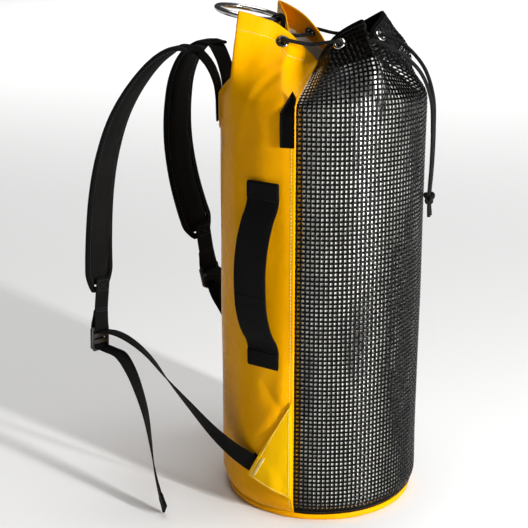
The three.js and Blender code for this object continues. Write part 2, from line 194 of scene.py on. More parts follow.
def flat_section(width, thick, across=10, edge=3):
    """A webbing section: flat faces with round edges."""
    r = thick / 2
    flat = np.linspace(-width / 2 + r, width / 2 - r, across)
    turn = np.linspace(-math.pi / 2, math.pi / 2, edge + 2)[1:-1]
    low = np.stack([flat, np.full(across, -r)], axis=1)
    right = np.stack([width / 2 - r + r * np.cos(turn), r * np.sin(turn)], axis=1)
    return np.vstack([low, right, -low, -right])


def dressed(obj, material, body, slot, replaces=()):
    obj.data.materials.append(material)
    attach(obj, body)
    if replaces:
        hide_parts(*replaces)
    return obj


def noise(points, wavelength, seed, stretch=(1, 1, 1)):
    """Smooth seeded noise from -1 to 1 at points in metres."""
    rng = np.random.default_rng(seed)
    waves = unit(rng.normal(size=(14, 3))) * np.asarray(stretch) * 2 * math.pi / wavelength
    waves *= rng.uniform(0.6, 1.5, size=(14, 1))
    total = np.sin(np.asarray(points) @ waves.T + rng.uniform(0, 2 * math.pi, 14)).sum(axis=-1)
    return total / 5.3


# ---- Camera and light ----

def make_camera():
    data = bpy.data.cameras.new("camera")
    data.lens = 84.0
    data.sensor_width = 36.0
    camera = bpy.data.objects.new("camera", data)
    camera.location = (0.4164, -1.6100, 0.825)
    camera.rotation_euler = (math.radians(73.41), 0, math.radians(17.27))
    bpy.context.scene.collection.objects.link(camera)
    bpy.context.scene.camera = camera


def add_light(name, kind, location, target, energy, **settings):
    data = bpy.data.lights.new(name, kind)
    data.energy = energy
    for key, value in settings.items():
        setattr(data, key, value)
    light = bpy.data.objects.new(name, data)
    light.location = location
    aim = mathutils.Vector(target) - mathutils.Vector(location)
    light.rotation_euler = aim.to_track_quat("-Z", "Y").to_euler()
    bpy.context.scene.collection.objects.link(light)


def make_lights():
    middle = (0, 0, 0.36)
    add_light("key", "AREA", (1.87, -0.95, 0.62), middle, 84, shape="RECTANGLE", size=0.10, size_y=1.4)
    add_light("front", "AREA", (0.9, -2.2, 0.8), middle, 4.5, shape="RECTANGLE", size=1.4, size_y=1.2)
    add_light("backdrop", "AREA", (-1.5, 6.5, 3.0), (-1.5, 6.51, 0), 130, shape="SQUARE", size=8,
              spread=math.radians(110))
    add_light("sky", "SUN", (0.2, 0.3, 3), middle, 1.75, angle=math.radians(50))
    world = bpy.data.worlds.new("studio")
    world.use_nodes = True
    background = world.node_tree.nodes["Background"]
    background.inputs["Color"].default_value = (1, 1, 1, 1)
    background.inputs["Strength"].default_value = 0.05
    bpy.context.scene.world = world
    bpy.context.scene.view_settings.view_transform = "Standard"


make_camera()
make_lights()


# ---- Materials ----

class Look:
    """A node material. Its helpers add nodes and give back their output sockets."""

    def __init__(self, name, roughness=0.5, metallic=0.0, **constants):
        self.material = bpy.data.materials.new(name)
        self.material.use_nodes = True
        self.nodes = self.material.node_tree.nodes
        self.links = self.material.node_tree.links
        self.shader = self.nodes["Principled BSDF"]
        self.put("Roughness", roughness)
        self.put("Metallic", metallic)
        for key, value in constants.items():
            self.put(key.replace("_", " "), value)
        place = self.nodes.new("ShaderNodeTexCoord")
        self.uv = place.outputs["UV"]
        self.place = place.outputs["Object"]

    def put(self, socket, value):
        self.join(value, self.shader.inputs[socket])

    def join(self, value, socket):
        if isinstance(value, bpy.types.NodeSocket):
            self.links.new(value, socket)
        else:
            socket.default_value = value

    def noise(self, scale, detail=3.0, where=None, stretch=None):
        node = self.nodes.new("ShaderNodeTexNoise")
        where = where or self.place
        if stretch:
            where = self.stretched(where, stretch)
        self.join(where, node.inputs["Vector"])
        node.inputs["Scale"].default_value = scale
        node.inputs["Detail"].default_value = detail
        return node.outputs["Fac"]

    def stretched(self, where, scale, turn=0.0):
        node = self.nodes.new("ShaderNodeMapping")
        self.join(where, node.inputs["Vector"])
        node.inputs["Scale"].default_value = scale
        node.inputs["Rotation"].default_value = (0, 0, turn)
        return node.outputs["Vector"]

    def waves(self, pitch, direction="X", turn=0.0):
        """Even ridges with a pitch in metres, in UV space."""
        node = self.nodes.new("ShaderNodeTexWave")
        self.join(self.stretched(self.uv, (1, 1, 1), turn), node.inputs["Vector"])
        node.bands_direction = direction
        node.inputs["Scale"].default_value = math.pi / 10 / pitch
        return node.outputs["Fac"]

    def math(self, operation, a, b=0.5):
        node = self.nodes.new("ShaderNodeMath")
        node.operation = operation
        self.join(a, node.inputs[0])
        self.join(b, node.inputs[1])
        return node.outputs[0]

    def ramp(self, value, low, high, *stops):
        """Colours, or grey levels, from stops spread evenly between low and high."""
        node = self.nodes.new("ShaderNodeValToRGB")
        self.join(value, node.inputs["Fac"])
        marks = node.color_ramp.elements
        while len(marks) < len(stops):
            marks.new(0.5)
        for i, stop in enumerate(stops):
            marks[i].position = low + (high - low) * i / (len(stops) - 1)
            marks[i].color = (*stop, 1) if isinstance(stop, tuple) else (stop, stop, stop, 1)
        return node.outputs["Color"]

    def mix(self, share, a, b):
        node = self.nodes.new("ShaderNodeMix")
        node.data_type = "RGBA"
        self.join(share, node.inputs["Factor"])
        self.join((*a, 1) if isinstance(a, tuple) else a, node.inputs["A"])
        self.join((*b, 1) if isinstance(b, tuple) else b, node.inputs["B"])
        return node.outputs["Result"]

    def bump(self, *layers):
        """Bumps from (height, depth in metres) layers."""
        normal = None
        for height, depth in layers:
            node = self.nodes.new("ShaderNodeBump")
            node.inputs["Distance"].default_value = depth
            self.join(height, node.inputs["Height"])
            if normal:
                self.links.new(normal, node.inputs["Normal"])
            normal = node.outputs["Normal"]
        self.links.new(normal, self.shader.inputs["Normal"])


def pvc(name, colour, shade, light, roughness):
    """Coated tarpaulin: the scrim shows faintly, with scuffs and a soft gloss."""
    look = Look(name, Specular_IOR_Level=0.03)
    patches = look.noise(9, 4)
    scuffs = look.ramp(look.noise(55, 6, stretch=(1, 1, 0.25)), 0.58, 0.72, 0.0, 1.0)
    base = look.mix(look.ramp(patches, 0.3, 0.7, 0.0, 1.0), shade, colour)
    base = look.mix(look.math("MULTIPLY", scuffs, 0.3), base, light)
    look.put("Base Color", base)
    grain = look.ramp(look.noise(30, 5), 0.35, 0.7, roughness - 0.05, roughness + 0.1)
    look.put("Roughness", grain)
    scrim = look.math("ADD", look.waves(0.0012), look.waves(0.0012, "Y"))
    look.bump((scrim, 0.00003), (look.noise(60, 4), 0.0004), (look.noise(14, 3), 0.002))
    return look.material


def weave(name, colour, worn, pitch, roughness, sheen=0.0):
    """Webbing: herringbone ribs along the strap, with worn lighter yarns."""
    look = Look(name, Specular_IOR_Level=0.09, Sheen_Weight=sheen, Sheen_Roughness=0.5)
    twill = look.math("MULTIPLY", look.waves(pitch, "X"), look.waves(pitch * 0.8, "Y", 0.6))
    fuzz = look.noise(900, 2)
    wear = look.math("MULTIPLY", look.noise(26, 5), look.ramp(twill, 0.2, 0.8, 0.3, 1.0))
    look.put("Base Color", look.mix(look.ramp(wear, 0.25, 0.62, 0.0, 1.0), colour, worn))
    look.put("Roughness", look.ramp(fuzz, 0.3, 0.7, roughness - 0.06, roughness + 0.06))
    look.bump((twill, 0.00035), (fuzz, 0.00008))
    return look.material


def cloth(name, colour, shade, pitch, roughness, depth=0.0002, specular=0.08):
    """A plain weave that needs no UVs: two crossed sets of fine noise."""
    look = Look(name, Specular_IOR_Level=specular)
    warp = look.noise(1 / pitch, 2, stretch=(1, 1, 0.3))
    weft = look.noise(1 / pitch, 2, stretch=(0.3, 0.3, 1))
    patches = look.noise(16, 4)
    look.put("Base Color", look.mix(look.ramp(patches, 0.3, 0.7, 0.0, 1.0), colour, shade))
    look.put("Roughness", look.ramp(patches, 0.3, 0.7, roughness - 0.05, roughness + 0.05))
    look.bump((look.math("ADD", warp, weft), depth), (look.noise(70, 3), 0.0008))
    return look.material


def lining(name, colour, shade, painted_mouth_light):
    """White coated cloth, painted whiter where it stands up in the mouth: painted light for the light that
    falls in at the open top.
    """
    look = Look(name, roughness=0.27, Specular_IOR_Level=1.0, Coat_Weight=1.0, Coat_Roughness=0.2)
    height = look.nodes.new("ShaderNodeSeparateXYZ")
    look.join(look.place, height.inputs["Vector"])
    # Painted light: above 0.575 m the colour ramps to a whiter white for the lit mouth.
    top = look.ramp(height.outputs["Z"], 0.575, 0.600, 0.0, 1.0)
    body = look.mix(look.ramp(look.noise(16, 4), 0.3, 0.7, 0.0, 1.0), colour, shade)
    look.put("Base Color", look.mix(top, body, painted_mouth_light))
    look.bump((look.noise(830, 2), 0.0002), (look.noise(70, 3), 0.0008))
    return look.material


def smooth_look(name, colour, shade, roughness, metallic=0.0, specular=0.5, grain=400, depth=0.00004):
    """Metal, moulded plastic or coated yarn: a fine grain, smudges and small changes of shade."""
    look = Look(name, metallic=metallic, Specular_IOR_Level=specular)
    smudges = look.noise(45, 5)
    look.put("Base Color", look.mix(look.ramp(smudges, 0.35, 0.7, 0.0, 1.0), colour, shade))
    look.put("Roughness", look.ramp(smudges, 0.3, 0.75, roughness, roughness + 0.12))
    look.bump((look.noise(grain, 3), depth))
    return look.material


YELLOW = pvc("yellow_pvc", (0.82, 0.37, 0.0), (0.73, 0.31, 0.0), (0.85, 0.45, 0.01), 0.25)
# A lighter copy of the yellow PVC for the side tabs: painted light, as the tabs face the lamps and the wall
# behind them is in shade.
PAINTED_LIGHT_TAB_YELLOW = pvc("painted_light_tab_yellow", (0.86, 0.50, 0.0), (0.80, 0.43, 0.0), (0.90, 0.58, 0.02), 0.3)
BLACK_PVC = pvc("black_pvc", (0.0024, 0.0024, 0.0021), (0.0015, 0.0015, 0.0015), (0.008, 0.008, 0.0075), 0.36)
YARN = smooth_look("mesh_yarn", (0.0008, 0.0008, 0.0007), (0.002, 0.002, 0.0017), 0.16, specular=0.14,
                   grain=1200,
                   depth=0.0001)
WEBBING = weave("webbing", (0.0015, 0.0015, 0.0015), (0.007, 0.007, 0.0067), 0.0016, 0.72)
PAD_FACE = cloth("pad_face", (0.002, 0.002, 0.002), (0.005, 0.005, 0.0047), 0.0011, 0.8)
BINDING = weave("binding", (0.0015, 0.0015, 0.0015), (0.005, 0.005, 0.005), 0.0009, 0.8)
# The last colour is painted light: the whiter top of the lining at the mouth.
LINING = lining("lining", (0.84, 0.82, 0.75), (0.72, 0.69, 0.61), (0.95, 0.94, 0.90))
CHROME = smooth_look("chrome", (0.80, 0.79, 0.76), (0.62, 0.61, 0.58), 0.12, metallic=1.0)
GUNMETAL = smooth_look("gunmetal", (0.10, 0.10, 0.10), (0.05, 0.05, 0.05), 0.24, metallic=1.0)
CORD = weave("cord", (0.008, 0.008, 0.008), (0.025, 0.025, 0.024), 0.0013, 0.7)
PLASTIC = smooth_look("plastic", (0.011, 0.011, 0.011), (0.02, 0.02, 0.02), 0.36, grain=700, depth=0.00008)
PALE_THREAD = smooth_look("pale_thread", (0.80, 0.66, 0.30), (0.62, 0.48, 0.16), 0.55, specular=0.3)
BLACK_THREAD = smooth_look("black_thread", (0.014, 0.014, 0.014), (0.03, 0.03, 0.03), 0.5, specular=0.3)


# ---- Floor ----

def make_floor():
    cells = np.linspace(-60, 60, 15)
    x, y = np.meshgrid(cells, cells)
    points = np.stack([x, y, np.full_like(x, -0.0004)], axis=-1)
    floor = make_mesh("floor", points, grid_faces(15, 15))
    look = Look("floor", roughness=0.9, Specular_IOR_Level=0.1)
    look.put("Base Color", look.mix(look.noise(1.5), (0.90, 0.90, 0.895), (0.92, 0.92, 0.915)))
    floor.data.materials.append(look.material)


make_floor()


# ---- The wall and its gathered collar ----

def folded(z, power=1.3):
    return np.clip((z - FOLD_START) / (FOLD_END - FOLD_START), 0, 1) ** power


def sunk(z):
    """How far a valley has sunk: it reaches the middle before the pleats do."""
    return np.clip((z - FOLD_START) / (VALLEY_TOP - FOLD_START), 0, 1) ** 1.15


def rounded(z):
    """How far the wall rounds in towards the base."""
    return FOOT_INSET * np.clip(1 - z / FOOT_HEIGHT, 0, 1) ** 2


def from_valley(angle):
    return np.abs((angle % 90 + 135) % 90 - 45)


def is_back(angle):
    return (angle % 360 > 90) & (angle % 360 < 270)


def lobe_radius(angle, z):
    back = BODY_RADIUS - 0.007 * (np.maximum(0, z - 0.640) / 0.050) ** 1.5
    front = BODY_RADIUS - 0.045 * (np.maximum(0, z - 0.615) / 0.063) ** 1.4
    return np.where(is_back(angle), back, front)


def chord(a, a0, r0, a1, r1):
    """Radius on the straight line between two corners."""
    span, near, far = (np.sin(np.radians(v)) for v in (a1 - a0, a - a0, a1 - a))
    return r0 * r1 * span / (r0 * near + r1 * far)


def wall_radius(angle, z):
    a = from_valley(angle)
    edge = PLEAT_ANGLE * (0.22 + 0.78 * folded(z, 1.0))
    valley = BODY_RADIUS - (BODY_RADIUS - VALLEY_RADIUS) * sunk(z)
    pleat = BODY_RADIUS - (BODY_RADIUS - PLEAT_RADIUS) * folded(z, 1.05)
    lobe = lobe_radius(angle, z)

    def side(v, p, l):
        return np.where(a < edge, chord(a, 0, v, edge, p), chord(a, edge, p, 45, l))

    round_ = BODY_RADIUS + 0 * angle
    bulge = BODY_RADIUS - side(round_, round_, round_)
    return side(valley, pleat, lobe) + (1 - sunk(z)) * bulge - rounded(z)


def collar_top(angle):
    """The top edge dips from each lobe to its pleats and into the valleys between them."""
    a = from_valley(angle)
    lobe = np.where(is_back(angle), BACK_LOBE_TOP, MESH_LOBE_TOP)
    dip = VALLEY_TOP + (PLEAT_TOP - VALLEY_TOP) * a / PLEAT_ANGLE
    rise = PLEAT_TOP + (lobe - PLEAT_TOP) * (a - PLEAT_ANGLE) / (45 - PLEAT_ANGLE)
    return np.where(a < PLEAT_ANGLE, dip, rise)


def blurred(grid, sigma, axis):
    """A Gaussian blur along one axis, sigma in samples; ends keep their values."""
    reach = max(1, int(3 * sigma))
    weights = np.exp(-0.5 * (np.arange(-reach, reach + 1) / sigma) ** 2)
    weights /= weights.sum()
    pad = [(0, 0)] * grid.ndim
    pad[axis] = (reach, reach)
    padded = np.pad(grid, pad, mode="reflect", reflect_type="odd")
    return np.apply_along_axis(lambda line: np.convolve(line, weights, mode="valid"), axis, padded)


class Wall:
    """One half of the bag's wall as a grid of points, rows up and columns along the panel."""

    def __init__(self, first_angle, shrink=0.0, soft=0.0024, lowered=0.0):
        self.cols = 181
        self.heights = np.concatenate([np.linspace(PANEL_BOTTOM, FOLD_START, 200)[:-1],
                                       np.linspace(FOLD_START, 1.575, 61)])
        angle = np.linspace(first_angle - 12, first_angle + 192, 2041)
        rows = []
        for level in self.heights:
            share = max(0, level - FOLD_START)
            limit = collar_top(angle) - lowered * (0.4 + 0.6 * from_valley(angle) / 45)
            z = level + 0 * angle if level <= FOLD_START else FOLD_START + (limit - FOLD_START) * share
            radius = wall_radius(angle, z) - shrink * (1 + 1.2 * folded(z, 0.5))
            line = np.stack([radius * np.cos(np.radians(angle)), radius * np.sin(np.radians(angle)), z],
                            axis=1)
            line = blurred(line, soft / 0.00024, 0)
            keep = line[120:-120]
            rows.append(resampled_to(keep, self.cols))
        points = np.array(rows)
        crown = len(self.heights) - 61
        points[crown - 14:] = blurred(points, 3.0, 0)[crown - 14:]
        self.points = points + self.ripples(points)
        self.measure()

    def ripples(self, points):
        """Soft buckles that grow where the collar is gathered."""
        z = points[..., 2]
        gathered = np.clip((z - 0.56) / 0.06, 0, 1)[..., None]
        out = points * (1, 1, 0) / np.linalg.norm(points[..., :2], axis=-1, keepdims=True)
        gentle = noise(points, 0.11, 3, (1, 1, 0.6))[..., None] * 0.0009
        fine = noise(points, 0.030, 5, (1, 1, 0.5))[..., None] * 0.0011
        return out * (gentle + fine * gathered)

    def measure(self):
        du = np.gradient(self.points, axis=1)
        dv = np.gradient(self.points, axis=0)
        self.normals = unit(np.cross(du, dv))
        run = np.linalg.norm(np.diff(self.points, axis=0), axis=-1).mean(axis=1)
        self.rise = np.concatenate([[0], np.cumsum(run)])

    def push(self, offset):
        self.points = self.points + self.normals * offset[..., None]
        self.measure()

    def take(self, col, row):
        """Points and normals at fractional columns and rows."""
        col, row = np.broadcast_arrays(np.asarray(col, float), np.asarray(row, float))
        i = np.clip(col.astype(int), 0, self.cols - 2)
        j = np.clip(row.astype(int), 0, len(self.heights) - 2)
        u, v = (col - i)[..., None], (row - j)[..., None]
        found = []
        for grid in (self.points, self.normals):
            low = grid[j, i] * (1 - u) + grid[j, i + 1] * u
            high = grid[j + 1, i] * (1 - u) + grid[j + 1, i + 1] * u
            found.append(low * (1 - v) + high * v)
        return found[0], unit(found[1])

    def row_at(self, rise):
        return np.interp(rise, self.rise, np.arange(len(self.rise)))

    def row_of_height(self, z, col):
        column = self.points[:, int(round(col)), 2]
        return np.interp(z, column, np.arange(len(column)))

    def nearest(self, point):
        gap = np.linalg.norm(self.points - np.asarray(point), axis=-1)
        row, col = np.unravel_index(np.argmin(gap), gap.shape)
        return float(col), float(row)

    def sheet(self, name, rows, cols, outer, inner, holes=()):
        """A closed sheet between two depths below the wall. Depths may be grids."""
        row, col = np.meshgrid(rows, cols, indexing="ij")
        points, normals = self.take(col, row)
        outer = np.broadcast_to(outer, row.shape)[..., None]
        inner = np.broadcast_to(inner, row.shape)[..., None]
        front, back = points - normals * outer, points - normals * inner
        return closed_sheet(name, front, back, holes)


def resampled_to(line, count):
    along = arc(line)
    even = np.linspace(0, along[-1], count)
    return np.stack([np.interp(even, along, line[:, k]) for k in range(3)], axis=1)


def widened(points, normals, holes):
    """Moves grid points out of round holes, and tells which were inside."""
    inside = np.zeros(points.shape[:2], bool)
    for centre, radius in holes:
        away = points - centre
        flat = away - normals * np.sum(away * normals, axis=-1, keepdims=True)
        gap = np.linalg.norm(flat, axis=-1)
        hit = (gap < radius) & (np.linalg.norm(away, axis=-1) < 2 * radius)
        points = np.where(hit[..., None], points + unit(flat) * (radius - gap)[..., None], points)
        inside |= hit
    return points, inside


def closed_sheet(name, front, back, holes=()):
    """A closed mesh from two grids, with a half-round rim around its border and round holes."""
    rows, cols = front.shape[:2]
    normals = unit(front - back)
    u = np.concatenate([[0], np.cumsum(np.linalg.norm(np.diff(front[rows // 2], axis=0), axis=1))])
    v = np.concatenate([[0], np.cumsum(np.linalg.norm(np.diff(front[:, cols // 2], axis=0), axis=1))])
    uv = np.stack(np.meshgrid(u, v), axis=-1).reshape(-1, 2)
    front, inside = widened(front, normals, holes)
    back, _ = widened(back, normals, holes)
    size = rows * cols
    gone = inside.ravel()
    every = grid_faces(rows, cols)
    kept = [face for face in every if not all(gone[k] for k in face)]
    cut = [face for face in every if all(gone[k] for k in face)]
    faces = kept + [[a + size for a in face[::-1]] for face in kept]
    cut_edges = {(face[k], face[(k + 1) % 4]) for face in cut for k in range(4)}
    faces += [[a, b, b + size, a + size] for a, b in cut_edges if (b, a) not in cut_edges]
    border = [(0, i) for i in range(cols)] + [(j, cols - 1) for j in range(1, rows)]
    border += [(rows - 1, i) for i in range(cols - 2, -1, -1)] + [(j, 0) for j in range(rows - 2, 0, -1)]
    middle = []
    for j, i in border:
        inward = front[min(max(j, 1), rows - 2), min(max(i, 1), cols - 2)]
        out = unit(front[j, i] - inward)
        centre = (front[j, i] + back[j, i]) / 2
        middle.append(centre + out * np.linalg.norm(front[j, i] - back[j, i]) * 0.5)
    count = len(border)
    for k, (j, i) in enumerate(border):
        nj, ni = border[(k + 1) % count]
        a, b = j * cols + i, nj * cols + ni
        m, n = 2 * size + k, 2 * size + (k + 1) % count
        faces += [[b, a, m, n], [n, m, a + size, b + size]]
    verts = np.vstack([front.reshape(-1, 3), back.reshape(-1, 3), np.array(middle)])
    uvs = np.vstack([uv, uv, np.array([uv[j * cols + i] for j, i in border])])
    return without_strays(make_mesh(name, verts, faces, uvs))


def without_strays(obj):
    """Removes points that no face uses."""
    mesh = bmesh.new()
    mesh.from_mesh(obj.data)
    loose = [v for v in mesh.verts if not v.link_faces]
    bmesh.ops.delete(mesh, geom=loose, context="VERTS")
    mesh.to_mesh(obj.data)
    mesh.free()
    return obj


def crease(wall, start, end, width, height):
    """Raises a soft ridge between two (column, height) points, or presses a dent if height is below 0."""
    col, row = np.meshgrid(np.arange(wall.cols), np.arange(len(wall.heights)))
    flat = np.stack([col * PANEL_LENGTH / 180, wall.rise[row]], axis=-1)
    a, b = (np.array([c * PANEL_LENGTH / 180, wall.rise[0] + h - PANEL_BOTTOM]) for c, h in (start, end))
    t = np.clip(np.sum((flat - a) * (b - a), axis=-1) / np.dot(b - a, b - a), 0, 1)
    gap = np.linalg.norm(flat - (a + t[..., None] * (b - a)), axis=-1)
    fade = np.sin(math.pi * np.clip(t, 0.03, 0.97)) ** 0.5
    wall.push(height * fade * np.exp(-(gap / width) ** 2))


BACK = Wall(90)
FRONT = Wall(270)
crease(BACK, (172, 0.170), (176, 0.235), 0.013, 0.0028)
crease(BACK, (160, 0.205), (177, 0.150), 0.009, -0.0016)
crease(BACK, (150, 0.100), (176, 0.185), 0.010, 0.0014)
crease(BACK, (146, 0.260), (141, 0.545), 0.014, 0.0011)
crease(BACK, (128, 0.060), (136, 0.300), 0.017, -0.0012)
crease(BACK, (118, 0.350), (127, 0.560), 0.015, 0.0011)
crease(BACK, (150, 0.560), (166, 0.650), 0.007, -0.0018)
crease(BACK, (140, 0.520), (158, 0.605), 0.010, 0.0013)
crease(BACK, (166, 0.300), (170, 0.520), 0.012, -0.0009)
crease(BACK, (30, 0.560), (14, 0.650), 0.007, -0.0018)
crease(BACK, (40, 0.120), (46, 0.420), 0.017, 0.0012)
crease(BACK, (84, 0.090), (96, 0.480), 0.022, 0.0011)
crease(BACK, (62, 0.300), (70, 0.560), 0.014, -0.0011)
crease(BACK, (104, 0.120), (100, 0.330), 0.016, -0.0012)
crease(BACK, (8, 0.170), (4, 0.235), 0.013, 0.0028)
crease(FRONT, (47, 0.560), (43, 0.670), 0.006, 0.0022)
crease(FRONT, (60, 0.575), (52, 0.650), 0.007, -0.0015)
crease(FRONT, (133, 0.560), (137, 0.670), 0.006, 0.0022)
crease(FRONT, (62, 0.100), (58, 0.420), 0.020, 0.0013)
crease(FRONT, (104, 0.090), (112, 0.300), 0.018, -0.0012)


# ---- Turned pieces and stitches ----

def lathe(profile, segments=144):
    """Vertices, faces and UVs of a closed profile of (radius, height) points turned about Z."""
    profile = np.asarray(profile, float)
    a = np.arange(segments) * 2 * math.pi / segments
    r, z = profile[:, 0], profile[:, 1]
    verts = np.stack([np.outer(np.cos(a), r), np.outer(np.sin(a), r), np.tile(z, (segments, 1))], axis=-1)
    faces = grid_faces(segments, len(profile), wrap_rows=True, wrap_cols=True)
    v = np.concatenate([[0], np.cumsum(np.linalg.norm(np.diff(profile, axis=0), axis=1))])
    uvs = np.stack(np.broadcast_arrays(a[:, None] * r.max(), v[None, :]), axis=-1)
    return verts.reshape(-1, 3), faces, uvs.reshape(-1, 2)


def facing(normal, near=(0, 0, 1)):
    """Axes with the third along normal and the second as near as can be to a direction."""
    z = unit(normal)
    x = unit(np.cross(near, z))
    return np.stack([x, np.cross(z, x), z], axis=1)


def stitch_row(path, normals, pitch=0.0042, length=0.0030, radius=0.00042):
    """A row of sewn stitches, small arched capsules whose ends dip into the cloth."""
    along = arc(path)
    centres = np.arange(pitch / 2, along[-1] - pitch / 3, pitch)
    ts = tangents(path)
    t = np.linspace(-1, 1, 7)
    parts = []
    for centre in centres:
        where = np.array([np.interp(centre, along, path[:, k]) for k in range(3)])
        direction = unit([np.interp(centre, along, ts[:, k]) for k in range(3)])
        normal = unit([np.interp(centre, along, normals[:, k]) for k in range(3)])
        across = unit(np.cross(normal, direction))
        line = where + direction * (t * length / 2)[:, None] + normal * (radius * (0.5 - 1.1 * t ** 4))[:,
                                                                                                        None]
        wide = radius * np.sqrt(np.clip(1.02 - t ** 2, 0.05, 1))
        ring = oval(2, 2, 6)
        parts.append(swept(line, np.tile(across, (7, 1)), np.tile(normal, (7, 1)),
                           ring * wide[:, None, None]))
    return joined(parts)


def on_wall(wall, cols, heights, lift=0.0):
    """A path over the wall through (column, height) points, with its normals."""
    legs = max(2, len(cols) * 30)
    t = np.linspace(0, len(cols) - 1, legs)
    col = np.interp(t, np.arange(len(cols)), cols)
    height = np.interp(t, np.arange(len(cols)), heights)
    rows = np.array([wall.row_of_height(h, c) for h, c in zip(height, col)])
    points, normals = wall.take(col, rows)
    return points + normals * lift, normals


# ---- Body ----

def hole_places(wall, names):
    """Each CAD eyelet's centre and normal, moved onto the finished wall."""
    found = {}
    for name in names:
        low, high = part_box(name)
        col, row = wall.nearest((np.array(low) + np.array(high)) / 2)
        point, normal = wall.take(col, row)
        found[name] = (point - normal * 0.0008, normal)
    return found


BACK_EYELETS = hole_places(BACK, ["eyelet_4", "eyelet_5", "eyelet_6", "eyelet_7"])
FRONT_EYELETS = hole_places(FRONT, ["eyelet_8", "eyelet_1", "eyelet_2", "eyelet_3"])
EYELET_HOLE = 0.0056


def make_back_panel():
    rows = np.arange(len(BACK.heights))
    cols = np.linspace(0, 180, 241)
    row, col = np.meshgrid(rows, cols, indexing="ij")
    hem_start = BACK.rise[-1] - 0.022
    hem = np.clip((BACK.rise[rows] - hem_start) / 0.002, 0, 1)[:, None]
    from_seam = np.minimum(col, 180 - col) * PANEL_LENGTH / 180
    turned_edge = np.exp(-(from_seam / 0.0035) ** 2) * 0.0007
    groove = -0.0005 * np.exp(-((BACK.rise[row] - hem_start) / 0.0012) ** 2)
    outer = -(turned_edge + groove)
    inner = 0.0012 + 0.0011 * hem + 0.0 * col
    holes = [(centre, EYELET_HOLE) for centre, _ in BACK_EYELETS.values()]
    panel = BACK.sheet("back_wall", rows, cols, outer, inner, holes)
    dressed(panel, YELLOW, "bag", "yellow_pvc", ["back_panel"])
    lines = []
    hem_row = BACK.row_at(hem_start)
    points, normals = BACK.take(np.linspace(1.5, 178.5, 400), np.full(400, hem_row))
    lines.append(stitch_row(points, normals))
    for col_at in (1.9, 178.1):
        points, normals = BACK.take(np.full(400, col_at), np.linspace(3, len(BACK.heights) - 4, 400))
        lines.append(stitch_row(points + normals * 0.0002, normals, pitch=0.0048))
    points, normals = BACK.take(np.linspace(1, 179, 400), np.full(400, BACK.row_at(0.004)))
    lines.append(stitch_row(points, normals, pitch=0.005))
    stitches = make_mesh("back_wall_stitches", *joined(lines))
    dressed(stitches, PALE_THREAD, "bag", "yellow_pvc")


def make_seam_allowances():
    """The yellow cloth that carries on a little way behind the mesh at its sides and its foot."""
    parts = []
    rows = np.arange(0, FRONT.row_at(0.60), 2)
    for cols in (np.linspace(0.1, 4.2, 6), np.linspace(175.8, 179.9, 6)):
        row, col = np.meshgrid(rows, cols, indexing="ij")
        points, normals = FRONT.take(col, row)
        parts.append((points - normals * 0.0021, points - normals * 0.0029))
    row, col = np.meshgrid(FRONT.row_at(np.linspace(0.0003, 0.011, 6)), np.linspace(4.5, 175.5, 140),
                           indexing="ij")
    points, normals = FRONT.take(col, row)
    parts.append((points - normals * 0.0021, points - normals * 0.0029))
    for k, (front, back) in enumerate(parts):
        strip = closed_sheet(f"seam_allowance_{k + 1}", front, back)
        dressed(strip, YELLOW, "bag", "yellow_pvc")


def make_base():
    profile = mm([[133.5, 0.3], [138.0, 0], [139.6, 0.7], [140.8, 2.2], [141.3, 4.2], [141.2, 6.6],
                  [140.6, 8.4], [139.6, 9.4], [137.6, 9.6], [136.0, 9.0], [134.6, 6.0], [133.5, 3.0]])
    verts, faces, uvs = lathe(profile, 240)
    out = unit(verts * (1, 1, 0))
    inset = rounded(0.009)
    verts = verts + out * (noise(verts, 0.06, 11) * 0.0005 - inset)[:, None]
    rim = make_mesh("base_welt", verts, faces, uvs)
    dressed(rim, YELLOW, "bag", "yellow_pvc", ["base_rim"])
    for slot in bpy.data.objects["base_panel"].material_slots:
        slot.material = YELLOW


def make_mesh_lattice():
    """The open mesh: coated yarns woven over and under one another."""
    up_count = 72
    rises = np.arange(0.004, FRONT.rise[-1] - 0.004, MESH_PITCH)
    section = oval(0.0033, 0.0011, 6)
    wave = 0.00032
    parts = []
    eyelets = [centre for centre, _ in FRONT_EYELETS.values()]

    def weave_yarn(col, rise, phase):
        points, normals = FRONT.take(col, FRONT.row_at(rise))
        points = points - normals * (0.0009 + wave * phase)[:, None]
        clear = np.min([np.linalg.norm(points - c, axis=1) for c in eyelets], axis=0) > 0.0062
        for run in np.split(np.arange(len(points)), np.nonzero(np.diff(clear.astype(int)))[0] + 1):
            if len(run) > 2 and clear[run[0]]:
                line, out = points[run], normals[run]
                ts = tangents(line)
                across = unit(np.cross(out, ts))
                parts.append(swept(line, across, unit(np.cross(ts, across)), section))

    half_rises = np.arange(rises[0] - MESH_PITCH / 2, rises[-1] + MESH_PITCH / 2, MESH_PITCH / 2)
    for i in range(up_count):
        step = np.arange(len(half_rises))
        phase = np.cos(math.pi * (step / 2 - 0.5 + i))
        weave_yarn(np.full(len(half_rises), (i + 0.5) * 2.5), half_rises, phase)
    half_cols = np.arange(0.25, 2 * up_count + 0.1) * 1.25
    half_cols = np.clip(half_cols, 0.3, 179.7)
    for j, rise in enumerate(rises):
        phase = -np.cos(math.pi * (half_cols / 2.5 - 0.5 + j))
        weave_yarn(half_cols, np.full(len(half_cols), rise), phase)
    lattice = make_mesh("mesh_weave", *joined(parts))
    dressed(lattice, YARN, "bag", "black_mesh", ["mesh_panel"])


